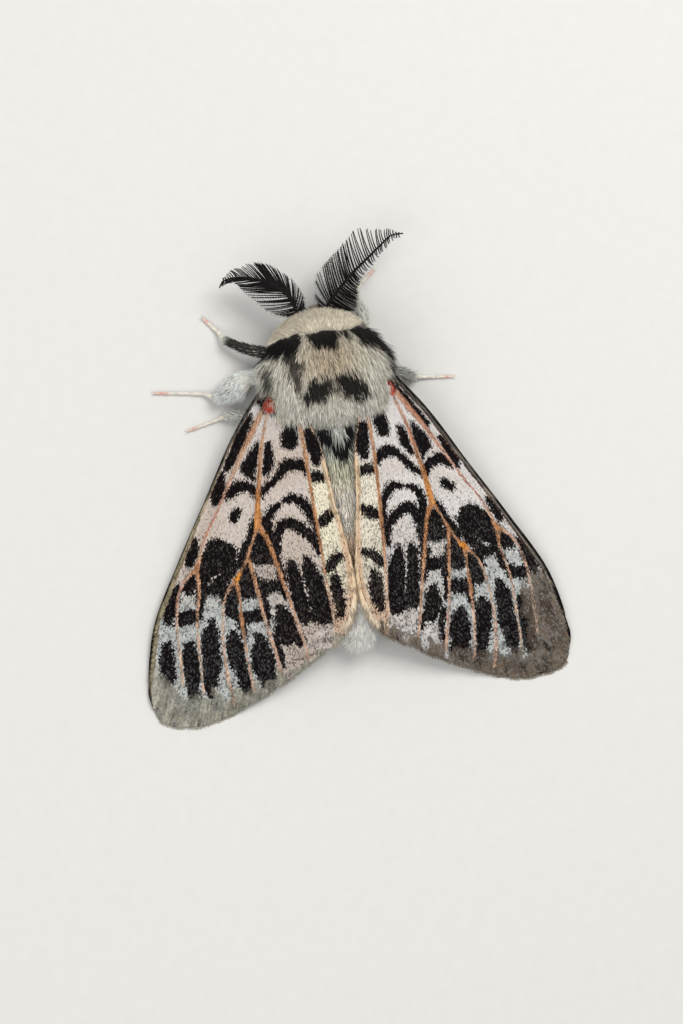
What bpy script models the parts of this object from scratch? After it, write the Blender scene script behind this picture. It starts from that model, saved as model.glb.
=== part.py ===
"""Tussock moth, a male at rest with its wings in a flat roof, at life size.

The row frame has +Z up, the head towards -Y and the moth's left side towards +X.
Sizes are in millimetres and become metres in the functions that make the meshes.
"""

import math
import random

import bmesh
import bpy
from mathutils import Vector, geometry

MM = 0.001
GAP = 0.3
SEED = 7

# Body: centres and half sizes of its swollen parts, as (across, along, up).
THORAX_CENTRE = Vector((0.0, 5.0, 4.3))
THORAX_CORE = Vector((4.75, 4.65, 2.95))
COAT_DEPTH = 0.75
HEAD_CENTRE = Vector((0.0, 0.9, 3.0))
HEAD_HALF = Vector((1.5, 1.5, 1.6))
EYE_RADIUS = 0.85
EYE_SPREAD = 1.35
EYE_FORWARD = 0.4
EYE_DROP = 0.15
PALP_ROOT = Vector((0.5, 0.1, 2.2))
PALP_TIP = Vector((0.65, -1.3, 2.0))
PALP_RADII = (0.4, 0.5, 0.3)

# Abdomen: places along its middle as (along, up, radius).
ABDOMEN_LINE = (
    (8.6, 3.4, 2.0),
    (11.5, 3.2, 2.15),
    (14.5, 3.0, 2.15),
    (17.5, 2.8, 2.05),
    (20.5, 2.6, 1.9),
    (23.5, 2.35, 1.6),
    (25.5, 2.2, 1.2),
    (27.0, 2.1, 0.8),
)
TAIL_END = 29.4

# Locks of the coat: length, width and thickness, and how far the root is sunk.
LOCK_LENGTH = 2.3
LOCK_WIDTH = 1.15
LOCK_THICKNESS = 0.55
LOCK_SINK = 0.55

# Rows of locks: on the thorax by (angle of rise, count, length), on the abdomen by (along, length, count).
THORAX_ROWS = ((78, 5, 2.3), (60, 12, 2.5), (40, 18, 2.6), (20, 22, 2.5), (-2, 20, 2.3), (-28, 14, 1.9))
ABDOMEN_ROWS = ((12.6, 3.0, 7), (16.6, 3.0, 7), (20.4, 3.0, 7), (23.4, 3.2, 8), (25.4, 3.6, 8))

# Wings: their outlines seen from above, as (out from the midline, along).
SHEET = 0.55
ROOF_POWER = 1.5
RIB_HEIGHT = 0.2
RIB_HALF = 0.4
FORE_COSTA = ((4.2, 4.8), (5.8, 6.2), (8.6, 9.8), (11.4, 14.5), (14.4, 19.5), (17.2, 24.6), (18.4, 29.4))
FORE_TERMEN = (
    (18.4, 31.4),
    (17.8, 32.9),
    (16.2, 33.7),
    (13.5, 33.75),
    (10.2, 32.7),
    (6.8, 31.1),
    (3.6, 29.2),
)
FORE_INNER = (
    (1.7, 28.0),
    (0.9, 26.0),
    (0.35, 24.0),
    (0.35, 21.5),
    (0.75, 18.5),
    (1.0, 15.5),
    (1.4, 12.0),
    (2.2, 9.2),
    (3.0, 6.4),
)
FORE_VEINS = (
    ((4.6, 6.4), (6.3, 8.7), (8.0, 11.3), (9.3, 13.5), (10.7, 15.9), (12.0, 17.9), (13.05, 20.4)),
    ((13.05, 20.4), (14.2, 21.3), (14.9, 22.6), (15.3, 24.6), (15.4, 26.6), (15.5, 30.0)),
    ((13.05, 20.4), (13.1, 22.4), (13.6, 24.6), (13.75, 27.0), (13.9, 31.0)),
    ((5.2, 7.4), (6.3, 10.9), (6.9, 13.8), (7.4, 16.7), (7.55, 17.7)),
    ((7.55, 17.7), (6.75, 19.0), (6.25, 21.6), (5.6, 24.8), (4.9, 28.4)),
    ((7.55, 17.7), (8.4, 18.8), (8.7, 20.0)),
    ((8.7, 20.0), (8.4, 21.9), (8.1, 24.5), (7.7, 27.0), (7.1, 29.8)),
    ((8.7, 20.0), (9.4, 21.2), (9.9, 21.8)),
    ((9.9, 21.8), (9.85, 23.4), (9.9, 25.3), (9.9, 27.4), (9.7, 30.8)),
    ((9.9, 21.8), (10.75, 22.7), (11.3, 24.0), (11.65, 26.5), (11.8, 29.0), (11.6, 31.6)),
    ((2.9, 8.6), (3.0, 12.5), (2.95, 15.5), (2.8, 19.0), (2.7, 22.4), (2.5, 24.9), (2.4, 26.8)),
)
HIND_OUTLINE = (
    (3.6, 8.6),
    (6.0, 9.6),
    (9.2, 13.6),
    (12.2, 18.6),
    (14.2, 23.6),
    (14.2, 27.2),
    (11.6, 29.4),
    (8.2, 29.0),
    (5.2, 27.4),
    (3.0, 25.4),
    (2.7, 21.0),
    (2.9, 15.5),
    (3.2, 11.0),
)
HIND_VEINS = (
    ((4.6, 10.0), (8.0, 15.5), (10.8, 21.5), (12.4, 27.0)),
    ((4.2, 10.6), (6.4, 16.5), (8.4, 22.5), (9.2, 27.4)),
    ((3.7, 11.5), (4.5, 17.0), (5.4, 22.0), (5.8, 26.0)),
)
HIND_BELOW = SHEET + 0.5

# Legs: joints as (across, along, up), with the radius at each.
LEGS = {
    "foreleg_left": ((2.0, 3.4, 2.2), (5.4, 2.7, 1.9), (7.6, 1.5, 1.1), (8.4, 0.4, 0.45), (9.4, -0.8, 0.22)),
    "foreleg_right": ((-2, 3.2, 2.2), (-4.1, 1.5, 2.1), (-3.7, -1, 1.2), (-4.3, -1.8, 0.5), (-5.8, -3, 0.22)),
    "midleg_left": ((2.2, 5.4, 2.0), (6.0, 4.9, 1.9), (8.9, 6.2, 1.1), (10.4, 5.6, 0.45), (14.4, 5.0, 0.22)),
    "midleg_right": ((-2.2, 5.4, 2), (-5.6, 5.7, 1.9), (-7.6, 6.5, 1.1), (-8.8, 6.7, 0.45), (-11.4, 7, 0.22)),
    "hindleg_left": ((2.0, 7.4, 2.0), (5.2, 8.6, 1.2), (8.2, 7.8, 0.8), (9.4, 8.0, 0.45), (12.0, 8.6, 0.22)),
    "hindleg_right": ((-2, 7.4, 2), (-4.8, 9, 1.2), (-6.6, 11.4, 0.8), (-7, 12.6, 0.45), (-8.2, 15.6, 0.22)),
}
LEG_RADII = (0.6, 0.7, 0.55, 0.35, 0.28)
LEG_LOCKS = ("foreleg_left", "foreleg_right", "midleg_left", "midleg_right")

# Feelers: places along the shaft and the ends of its two combs, as (across, along).
SHAFT_LEFT = (
    (1.1, 0.9),
    (1.9, -0.4),
    (2.5, -1.6),
    (3.7, -2.8),
    (5.3, -3.6),
    (6.8, -3.9),
    (7.6, -4.0),
    (8.3, -3.6),
)
AHEAD_LEFT = (
    (1.0, 0.3),
    (1.3, -1.0),
    (1.9, -2.6),
    (3.5, -4.0),
    (5.2, -4.8),
    (6.9, -4.9),
    (7.7, -4.6),
    (8.5, -3.9),
)
BEHIND_LEFT = (
    (1.9, 0.9),
    (3.0, 0.0),
    (4.3, -0.6),
    (5.2, -1.4),
    (6.0, -2.4),
    (6.9, -3.2),
    (7.5, -3.5),
    (8.1, -3.4),
)
SHAFT_RIGHT = (
    (-0.9, 0.8),
    (-1.5, -1.3),
    (-3.2, -2.8),
    (-4.7, -3.9),
    (-5.8, -4.8),
    (-6.6, -5.3),
    (-7.5, -5.5),
    (-8.3, -5.5),
)
AHEAD_RIGHT = (
    (-0.3, 0.4),
    (0.0, -1.7),
    (-0.7, -3.6),
    (-2.2, -5.0),
    (-4.0, -6.1),
    (-5.6, -6.2),
    (-7.0, -6.0),
    (-8.3, -5.7),
)
BEHIND_RIGHT = (
    (-1.6, 0.8),
    (-3.1, 0.2),
    (-3.8, -1.6),
    (-5.2, -3.1),
    (-6.3, -4.1),
    (-7.2, -4.8),
    (-7.9, -5.2),
    (-8.4, -5.3),
)
SHAFT_HEIGHTS = (4.0, 4.3, 4.4, 4.3, 4.1, 3.8, 3.6, 3.3)
SHAFT_RADII = (0.34, 0.34, 0.32, 0.3, 0.28, 0.27, 0.26, 0.25)
RAMI = 10
RAMUS_START = 0.2
RAMUS_RADII = (0.28, 0.26, 0.16)
DROOPS_LEFT = (0.35, 0.6)
DROOPS_RIGHT = (0.35, 1.5)


def clear_scene():
    """Remove the objects that the scene starts with."""
    for thing in list(bpy.data.objects):
        bpy.data.objects.remove(thing, do_unlink=True)


def material(name, colour, roughness):
    """A plain finish for one kind of surface."""
    made = bpy.data.materials.new(name)
    made.use_nodes = True
    shader = made.node_tree.nodes["Principled BSDF"]
    shader.inputs["Base Color"].default_value = (*colour, 1.0)
    shader.inputs["Roughness"].default_value = roughness
    return made


def collection(name):
    """A collection linked to the scene."""
    made = bpy.data.collections.new(name)
    bpy.context.scene.collection.children.link(made)
    return made


def object_of(name, bm, where, finish=None):
    """An object made from a bmesh in millimetres, with its faces out."""
    bmesh.ops.scale(bm, vec=(MM, MM, MM), verts=bm.verts)
    bmesh.ops.recalc_face_normals(bm, faces=bm.faces)
    mesh = bpy.data.meshes.new(name)
    bm.to_mesh(mesh)
    bm.free()
    made = bpy.data.objects.new(name, mesh)
    where.objects.link(made)
    if finish is not None:
        mesh.materials.append(finish)
    return made


def ellipsoid(centre, half, across=20, up=12):
    """A bmesh ball stretched to its half sizes."""
    bm = bmesh.new()
    bmesh.ops.create_uvsphere(bm, u_segments=across, v_segments=up, radius=1.0)
    bmesh.ops.scale(bm, vec=half, verts=bm.verts)
    bmesh.ops.translate(bm, vec=centre, verts=bm.verts)
    return bm


def keep_largest(mesh):
    """Keep the largest closed surface of a mesh."""
    bm = bmesh.new()
    bm.from_mesh(mesh)
    left = set(bm.faces)
    shells = []
    while left:
        shell = set()
        edge_of_shell = [left.pop()]
        while edge_of_shell:
            face = edge_of_shell.pop()
            shell.add(face)
            for edge in face.edges:
                near = left.intersection(edge.link_faces)
                left -= near
                edge_of_shell.extend(near)
        shells.append(shell)
    largest = max(shells, key=lambda shell: sum(face.calc_area() for face in shell))
    spare = [face for face in bm.faces if face not in largest]
    bmesh.ops.delete(bm, geom=spare, context="FACES")
    loose = [vert for vert in bm.verts if not vert.link_faces]
    bmesh.ops.delete(bm, geom=loose, context="VERTS")
    bm.to_mesh(mesh)
    bm.free()


def is_closed(mesh):
    """Whether each edge of a mesh has two faces."""
    bm = bmesh.new()
    bm.from_mesh(mesh)
    closed = all(len(edge.link_faces) == 2 for edge in bm.edges)
    bm.free()
    return closed


def boolean(target, others, operation):
    """Join the others to the target, or cut them from it, and remove them."""
    group = bpy.data.collections.new("pieces")
    for other in others:
        group.objects.link(other)
    change = target.modifiers.new(operation.title(), "BOOLEAN")
    change.operation = operation
    change.operand_type = "COLLECTION"
    change.collection = group
    for solver in ("EXACT", "MANIFOLD"):
        change.solver = solver
        bpy.context.view_layer.update()
        graph = bpy.context.evaluated_depsgraph_get()
        mesh = bpy.data.meshes.new_from_object(target.evaluated_get(graph))
        keep_largest(mesh)
        if is_closed(mesh):
            break
    target.modifiers.clear()
    target.data = mesh
    for other in others:
        bpy.data.objects.remove(other, do_unlink=True)
    bpy.data.collections.remove(group)


def smooth_line(points, steps, closed=False):
    """A curve through the points, with this many steps between each two."""
    points = [Vector(point) for point in points]
    count = len(points)
    spans = count if closed else count - 1
    line = []
    for i in range(spans):
        before = points[(i - 1) % count] if closed or i > 0 else points[0]
        here, there = points[i], points[(i + 1) % count]
        after = points[(i + 2) % count] if closed or i + 2 < count else points[-1]
        for k in range(steps):
            t = k / steps
            line.append(
                0.5
                * (
                    2 * here
                    + (there - before) * t
                    + (2 * before - 5 * here + 4 * there - after) * t**2
                    + (3 * here - before - 3 * there + after) * t**3
                )
            )
    if not closed:
        line.append(points[-1])
    return line


def costa_at(along):
    """How far out the forewing's front edge is, at a place along the body."""
    line = FORE_COSTA + (FORE_TERMEN[0],)
    if along <= line[0][1]:
        return line[0][0]
    for (out_a, along_a), (out_b, along_b) in zip(line, line[1:]):
        if along <= along_b:
            return out_a + (out_b - out_a) * (along - along_a) / (along_b - along_a)
    return line[-1][0]


def roof(out, along):
    """Height of the forewing's upper face, without its veins."""
    ridge = 6.15 - 0.0055 * (along - 10.0) ** 2 - 0.06 * max(0.0, along - 27.0) ** 2
    eaves = 0.5 + 3.9 * math.exp(-max(0.0, along - 6.0) / 11.5) - 0.01 * along
    share = min(1.0, max(0.0, out) / costa_at(along))
    return eaves + (max(ridge, eaves) - eaves) * (1.0 - share**ROOF_POWER)


def rib(veins, out, along):
    """How far the veins raise the wing's upper face at a place."""
    place = Vector((out, along))
    nearest = RIB_HALF
    for vein in veins:
        for start, end in zip(vein, vein[1:]):
            point, share = geometry.intersect_point_line(place, start, end)
            flat = Vector(start).lerp(Vector(end), min(1.0, max(0.0, share)))
            nearest = min(nearest, (place - flat).length)
    return RIB_HEIGHT * (1.0 - nearest / RIB_HALF)


def offset(line, by, closed):
    """A line moved sideways by a distance."""
    count = len(line)
    moved = []
    for i, point in enumerate(line):
        ahead = line[(i + 1) % count] if closed or i + 1 < count else point
        behind = line[i - 1] if closed or i > 0 else point
        run = (ahead - behind).normalized()
        moved.append(point + by * Vector((run.y, -run.x)))
    return moved


def grown(outline, by):
    """An outline moved outwards by a distance."""
    area = sum(a.x * b.y - b.x * a.y for a, b in zip(outline, outline[1:] + outline[:1]))
    return offset(outline, by if area > 0 else -by, True)


def sheet(outline, side, top, bottom, spacing, veins=()):
    """A bmesh plate between two heights, with its triangles laid along the veins."""
    outline = [Vector(point) for point in outline]
    points = list(outline)
    edges = []
    for vein in veins:
        flanks = [offset(vein, by, False)[1:-1] for by in (RIB_HALF, -RIB_HALF)]
        for line in (vein, *flanks):
            edges.extend((len(points) + i, len(points) + i + 1) for i in range(len(line) - 1))
            points.extend(line)
    held = list(points)
    low = [min(point[i] for point in outline) for i in (0, 1)]
    high = [max(point[i] for point in outline) for i in (0, 1)]
    for column in range(1, int((high[0] - low[0]) / spacing) + 1):
        for row in range(1, int((high[1] - low[1]) / spacing) + 1):
            point = Vector((low[0] + column * spacing, low[1] + row * spacing))
            if min((point - other).length for other in held) > spacing / 2:
                points.append(point)
    ring = list(range(len(outline)))
    found = geometry.delaunay_2d_cdt(points, edges, [ring], 1, 0.001)
    places, faces = found[0], found[2]
    bm = bmesh.new()
    verts = [bm.verts.new((side * place.x, place.y, 0.0)) for place in places]
    for face in faces:
        bm.faces.new([verts[i] for i in face])
    loose = [vert for vert in bm.verts if not vert.link_faces]
    bmesh.ops.delete(bm, geom=loose, context="VERTS")
    bmesh.ops.dissolve_degenerate(bm, dist=0.02, edges=bm.edges[:])
    bmesh.ops.triangulate(bm, faces=bm.faces[:])
    for vert in bm.verts:
        vert.co.z = top(side * vert.co.x, vert.co.y)
    made = bmesh.ops.extrude_face_region(bm, geom=bm.faces[:])
    for vert in made["geom"]:
        if isinstance(vert, bmesh.types.BMVert):
            vert.co.z = bottom(side * vert.co.x, vert.co.y)
    return bm


def fore_outline():
    """The forewing's outline, smoothed."""
    return smooth_line(FORE_COSTA + FORE_TERMEN + FORE_INNER, 3, closed=True)


def forewing(name, side, where, finish):
    """A forewing: a ribbed plate under the roof's height, resting on the floor at its tip."""
    veins = [smooth_line(vein, 2) for vein in FORE_VEINS]
    bm = sheet(
        fore_outline(),
        side,
        lambda out, along: roof(out, along) + rib(veins, out, along),
        lambda out, along: max(0.0, roof(out, along) - SHEET),
        2.5,
        veins,
    )
    return object_of(name, bm, where, finish)


def room_for_forewing(side, where):
    """The space that the coat keeps clear of, round a forewing."""
    bm = sheet(
        grown(fore_outline(), GAP),
        side,
        lambda out, along: roof(out, along) + RIB_HEIGHT + GAP,
        lambda out, along: roof(out, along) - SHEET - GAP,
        2.5,
    )
    return object_of("room_for_forewing", bm, where)


def hind_outline():
    """The hindwing's outline, smoothed."""
    return smooth_line(HIND_OUTLINE, 2, closed=True)


def hindwing(name, side, where, finish):
    """A hindwing: a ribbed plate folded under the forewing."""
    veins = [smooth_line(vein, 2) for vein in HIND_VEINS]
    bm = sheet(
        hind_outline(),
        side,
        lambda out, along: roof(out, along) - HIND_BELOW + rib(veins, out, along) / 2,
        lambda out, along: roof(out, along) - HIND_BELOW - SHEET,
        2.5,
        veins,
    )
    return object_of(name, bm, where, finish)


def tube(name, points, radii, where, finish=None, sides=2):
    """A closed tube along the points with a radius at each, as a mesh."""
    data = bpy.data.curves.new(name, "CURVE")
    data.dimensions = "3D"
    data.bevel_depth = MM
    data.bevel_resolution = sides
    data.use_fill_caps = True
    spline = data.splines.new("POLY")
    spline.points.add(len(points) - 1)
    for knot, place, radius in zip(spline.points, points, radii):
        knot.co = (*(Vector(place) * MM), 1.0)
        knot.radius = radius
    drawn = bpy.data.objects.new(name + "_line", data)
    where.objects.link(drawn)
    bpy.context.view_layer.update()
    graph = bpy.context.evaluated_depsgraph_get()
    mesh = bpy.data.meshes.new_from_object(drawn.evaluated_get(graph))
    bpy.data.objects.remove(drawn, do_unlink=True)
    bm = bmesh.new()
    bm.from_mesh(mesh)
    bmesh.ops.remove_doubles(bm, verts=bm.verts, dist=0.000001)
    bmesh.ops.recalc_face_normals(bm, faces=bm.faces)
    bm.to_mesh(mesh)
    bm.free()
    mesh.name = name
    mesh.materials.clear()
    made = bpy.data.objects.new(name, mesh)
    where.objects.link(made)
    if finish is not None:
        mesh.materials.append(finish)
    return made


def lock(points, up, width, thickness, where):
    """A flat tapered lock along the points, with its broad face along up."""
    bm = bmesh.new()
    last = len(points) - 1
    rings = []
    for i, point in enumerate(points[:-1]):
        run = (points[i + 1] - points[max(0, i - 1)]).normalized()
        across = run.cross(up).normalized() * width * (1.0 - 0.55 * i / last) / 2
        rise = across.cross(run).normalized() * thickness * (1.0 - 0.35 * i / last) / 2
        rings.append([bm.verts.new(point + step) for step in (across, rise, -across, -rise)])
    end = bm.verts.new(points[-1])
    bm.faces.new(rings[0])
    for here, there in zip(rings, rings[1:]):
        for k in range(4):
            bm.faces.new((here[k], here[k - 1], there[k - 1], there[k]))
    for k in range(4):
        bm.faces.new((rings[-1][k], rings[-1][k - 1], end))
    bmesh.ops.triangulate(bm, faces=bm.faces[:])
    return object_of("lock", bm, where)


def on_core(centre, half, turn, rise):
    """A place on a ball stretched to its half sizes, and the normal there.

    The turn is round the up axis from straight aft, towards the left side, and
    the rise is the angle above the level, both in degrees.
    """
    turn, rise = math.radians(turn), math.radians(rise)
    level = math.cos(rise)
    unit = Vector((math.sin(turn) * level, math.cos(turn) * level, math.sin(rise)))
    place = Vector(unit[i] * half[i] for i in range(3))
    normal = Vector(unit[i] / half[i] for i in range(3)).normalized()
    return centre + place, normal


def core_lock(centre, half, depth, turn, rise, lie, size, where):
    """A lock that grows from a stretched ball and lies along its surface."""
    root, normal = on_core(centre, half, turn, rise)
    flow = (lie - normal * lie.dot(normal)).normalized()
    points = []
    for share in (0.0, 0.4, 0.75, 1.0):
        out = root - centre + flow * size * share
        unit = Vector(out[i] / half[i] for i in range(3))
        level = Vector(unit[i] / unit.length * half[i] for i in range(3))
        away = Vector(unit[i] / half[i] for i in range(3)).normalized()
        points.append(centre + level + away * (depth * share**0.7 - LOCK_SINK * (1.0 - share)))
    width = LOCK_WIDTH * size / LOCK_LENGTH
    return lock(points, normal, width, LOCK_THICKNESS, where)


def lie_on_thorax(turn, rise, chance):
    """Which way the coat lies at a place on the thorax."""
    ahead = max(0.0, -math.cos(math.radians(turn)))
    outward = math.sin(math.radians(turn))
    lie = Vector((0.9 * outward, 1.0 - 2.4 * ahead**2, 0.25 * ahead - 0.35 * abs(outward)))
    return lie + Vector((chance.uniform(-0.2, 0.2), chance.uniform(-0.2, 0.2), 0.0))


def thorax_locks(where):
    """The coat of the thorax, in rings of locks from its crown down to its sides."""
    chance = random.Random(SEED)
    made = []
    for rise, count, size in THORAX_ROWS:
        for i in range(count):
            turn = 360.0 * (i + 0.5 * (rise // 10 % 2)) / count + chance.uniform(-4.0, 4.0)
            lie = lie_on_thorax(turn, rise, chance)
            length = size * chance.uniform(0.85, 1.12)
            height = rise + chance.uniform(-3.0, 3.0)
            made.append(core_lock(THORAX_CENTRE, THORAX_CORE, COAT_DEPTH, turn, height, lie, length, where))
    return made


def head_locks(where):
    """The tuft of the brow, lying forwards and down over the face."""
    chance = random.Random(SEED + 1)
    made = []
    for rise, turns in ((58, (-30, 0, 30)), (32, (-42, -14, 14, 42)), (6, (-24, 0, 24)), (-22, (-34, 0, 34))):
        for turn in turns:
            lie = Vector((0.5 * math.sin(math.radians(turn)), -1.0, -0.5))
            length = 1.3 * chance.uniform(0.9, 1.1)
            made.append(core_lock(HEAD_CENTRE, HEAD_HALF, 0.4, 180 - turn, rise, lie, length, where))
    return made


def abdomen_at(along):
    """The height of the abdomen's middle and its radius, at a place along the body."""
    for (along_a, up_a, radius_a), (along_b, up_b, radius_b) in zip(ABDOMEN_LINE, ABDOMEN_LINE[1:]):
        if along <= along_b:
            share = (along - along_a) / (along_b - along_a)
            return up_a + (up_b - up_a) * share, radius_a + (radius_b - radius_a) * share
    return ABDOMEN_LINE[-1][1], ABDOMEN_LINE[-1][2] * (TAIL_END - along) / (TAIL_END - ABDOMEN_LINE[-1][0])


def abdomen_locks(where):
    """The abdomen's coat, in rings, and the tuft at its tail."""
    chance = random.Random(SEED + 2)
    made = []
    for row, (along, size, count) in enumerate(ABDOMEN_ROWS):
        for i in range(count):
            angle = 2.0 * math.pi * (i + 0.5 * (row % 2)) / count + chance.uniform(-0.12, 0.12)
            away = Vector((math.sin(angle), 0.0, math.cos(angle)))
            length = size * chance.uniform(0.88, 1.08)
            points = []
            for share in (0.0, 0.4, 0.75, 1.0):
                reach = along + length * share
                up, radius = abdomen_at(reach)
                lift = 0.4 * share**0.7 - 0.45 * (1.0 - share)
                points.append(Vector((0.0, reach, up)) + away * max(0.1, radius + lift))
            made.append(lock(points, away, 1.15, 0.5, where))
    return made


def leg_locks(joints, where):
    """The shaggy sleeve of a leg, from its knee down to its foot."""
    chance = random.Random(SEED + 3)
    start, end = Vector(joints[1]), Vector(joints[2])
    run = (end - start).normalized()
    made = []
    for row, share in enumerate((0.0, 0.5)):
        for i in range(4):
            angle = 0.5 * math.pi * (i + 0.5 * (row % 2)) + chance.uniform(-0.15, 0.15)
            across = run.cross(Vector((0.0, 0.0, 1.0))).normalized()
            away = across * math.cos(angle) + across.cross(run) * math.sin(angle)
            base = start.lerp(end, share)
            length = 1.5 * chance.uniform(0.9, 1.1)
            places = ((0.0, 0.1), (0.45, 0.72), (0.8, 0.85), (1.0, 0.8))
            points = [base + run * length * along + away * out for along, out in places]
            made.append(lock(points, away, 0.95, 0.5, where))
    return made


def on_line(line, share):
    """A place on a line, by its share of the line's steps."""
    step = min(len(line) - 2, int(share * (len(line) - 1)))
    return line[step].lerp(line[step + 1], share * (len(line) - 1) - step)


def shaft_line(shaft):
    """A feeler's shaft as places in space."""
    return smooth_line([(x, y, height) for (x, y), height in zip(shaft, SHAFT_HEIGHTS)], 2)


def shaft_radii(clear=0.0):
    """The radius at each place of a feeler's shaft, larger by a clearance."""
    return [radius.x + clear for radius in smooth_line([(radius, 0.0) for radius in SHAFT_RADII], 2)]


def feeler(name, shaft, combs, droops, where, tools, finish):
    """A feeler: a shaft with a comb of rami on each side, slanting towards its tip."""
    line = shaft_line(shaft)
    made = tube(name, line, shaft_radii(), where, finish)
    rami = []
    for comb, droop in zip(combs, droops):
        edge = smooth_line(comb, 2)
        for i in range(RAMI):
            share = RAMUS_START + (0.95 - RAMUS_START) * i / (RAMI - 1)
            root = on_line(line, share)
            tip = on_line(edge, min(1.0, share + 0.11)).to_3d()
            tip.z = root.z - droop * (1.0 - 0.5 * share)
            middle = root.lerp(tip, 0.5) + Vector((0.0, 0.0, 0.15))
            rami.append(tube("ramus", (root, middle, tip), RAMUS_RADII, tools, sides=0))
    boolean(made, rami, "UNION")
    return made


def foot_flat(made):
    """Cut a leg flat where it meets the floor."""
    bm = bmesh.new()
    bm.from_mesh(made.data)
    cut = bmesh.ops.bisect_plane(
        bm,
        geom=bm.verts[:] + bm.edges[:] + bm.faces[:],
        plane_co=(0.0, 0.0, 0.0),
        plane_no=(0.0, 0.0, -1.0),
        clear_outer=True,
    )
    rim = [part for part in cut["geom_cut"] if isinstance(part, bmesh.types.BMEdge)]
    bmesh.ops.contextual_create(bm, geom=rim)
    bm.to_mesh(made.data)
    bm.free()


def leg_tube(name, joints, where, finish=None, clear=0.0):
    """A leg's bare limb, larger by a clearance."""
    radii = [radius.x + clear for radius in smooth_line([(radius, 0.0) for radius in LEG_RADII], 3)]
    return tube(name, smooth_line(joints, 3), radii, where, finish)


def leg(name, joints, where, tools, finish):
    """A leg: a limb from its root to a foot that is flat where it meets the floor."""
    made = leg_tube(name, joints, where, finish)
    foot_flat(made)
    if name in LEG_LOCKS:
        boolean(made, leg_locks(joints, tools), "UNION")
    return made


def ball_room(centre, half, clear, where):
    """A stretched ball, larger by a clearance."""
    return object_of("room", ellipsoid(centre, half + Vector((clear,) * 3)), where)


def eye_centre(side):
    """The middle of an eye."""
    return HEAD_CENTRE + Vector((side * EYE_SPREAD, -EYE_FORWARD, -EYE_DROP))


def eye_rooms(where):
    """The space round both eyes."""
    rooms = []
    for side in (1, -1):
        ball = ellipsoid(eye_centre(side), Vector((EYE_RADIUS + GAP,) * 3), 14, 8)
        rooms.append(object_of("room", ball, where))
    return rooms


def centre_on_floor(where):
    """Move every node so that the floor point under the middle of the box is the origin."""
    places = [vert.co for thing in where.objects for vert in thing.data.vertices]
    low = [min(place[i] for place in places) for i in range(3)]
    high = [max(place[i] for place in places) for i in range(3)]
    shift = Vector((-(low[0] + high[0]) / 2, -(low[1] + high[1]) / 2, -low[2]))
    for thing in where.objects:
        for vert in thing.data.vertices:
            vert.co += shift
        thing.data.update()


def build_body(moth, tools, wool, dark):
    """The abdomen, thorax, head, eyes and palps."""
    middle = [(0.0, along, up) for along, up, radius in ABDOMEN_LINE]
    radii = [radius for along, up, radius in ABDOMEN_LINE]
    abdomen = tube("abdomen", middle, radii, moth, wool, sides=3)
    boolean(abdomen, abdomen_locks(tools), "UNION")

    bm = ellipsoid(THORAX_CENTRE, THORAX_CORE)
    thorax = object_of("thorax", bm, moth, wool)
    boolean(thorax, thorax_locks(tools), "UNION")
    rooms = [room_for_forewing(side, tools) for side in (1, -1)]
    rooms.append(ball_room(HEAD_CENTRE, HEAD_HALF, GAP, tools))
    inner = [(0.0, ABDOMEN_LINE[0][0] - GAP, ABDOMEN_LINE[0][1])] + middle
    outer = [radii[0] + 2 * GAP] + [radius + 2 * GAP for radius in radii]
    rooms.append(tube("room_for_abdomen", inner, outer, tools, sides=3))
    rooms.extend(eye_rooms(tools))
    for joints in LEGS.values():
        rooms.append(leg_tube("room_for_leg", joints, tools, clear=GAP))
    for shaft in (SHAFT_LEFT, SHAFT_RIGHT):
        rooms.append(tube("room_for_shaft", shaft_line(shaft), shaft_radii(GAP), tools))
    boolean(thorax, rooms, "DIFFERENCE")

    head = object_of("head", ellipsoid(HEAD_CENTRE, HEAD_HALF), moth, wool)
    boolean(head, head_locks(tools), "UNION")
    rooms = eye_rooms(tools)
    for shaft in (SHAFT_LEFT, SHAFT_RIGHT):
        rooms.append(tube("room_for_shaft", shaft_line(shaft), shaft_radii(GAP), tools))
    rooms.extend(palp("room_for_palp", side, tools, clear=GAP) for side in (1, -1))
    boolean(head, rooms, "DIFFERENCE")

    for side, word in ((1, "left"), (-1, "right")):
        ball = ellipsoid(eye_centre(side), Vector((EYE_RADIUS,) * 3), 14, 8)
        object_of("eye_" + word, ball, moth, dark)
        snout = palp("palp_" + word, side, moth, wool)
        boolean(snout, [ball_room(HEAD_CENTRE, HEAD_HALF, GAP, tools)], "DIFFERENCE")


def palp(name, side, where, finish=None, clear=0.0):
    """A palp, larger by a clearance."""
    root, tip = [Vector((side * end.x, end.y, end.z)) for end in (PALP_ROOT, PALP_TIP)]
    radii = [radius + clear for radius in PALP_RADII]
    return tube(name, [root, root.lerp(tip, 0.5), tip], radii, where, finish)


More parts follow.
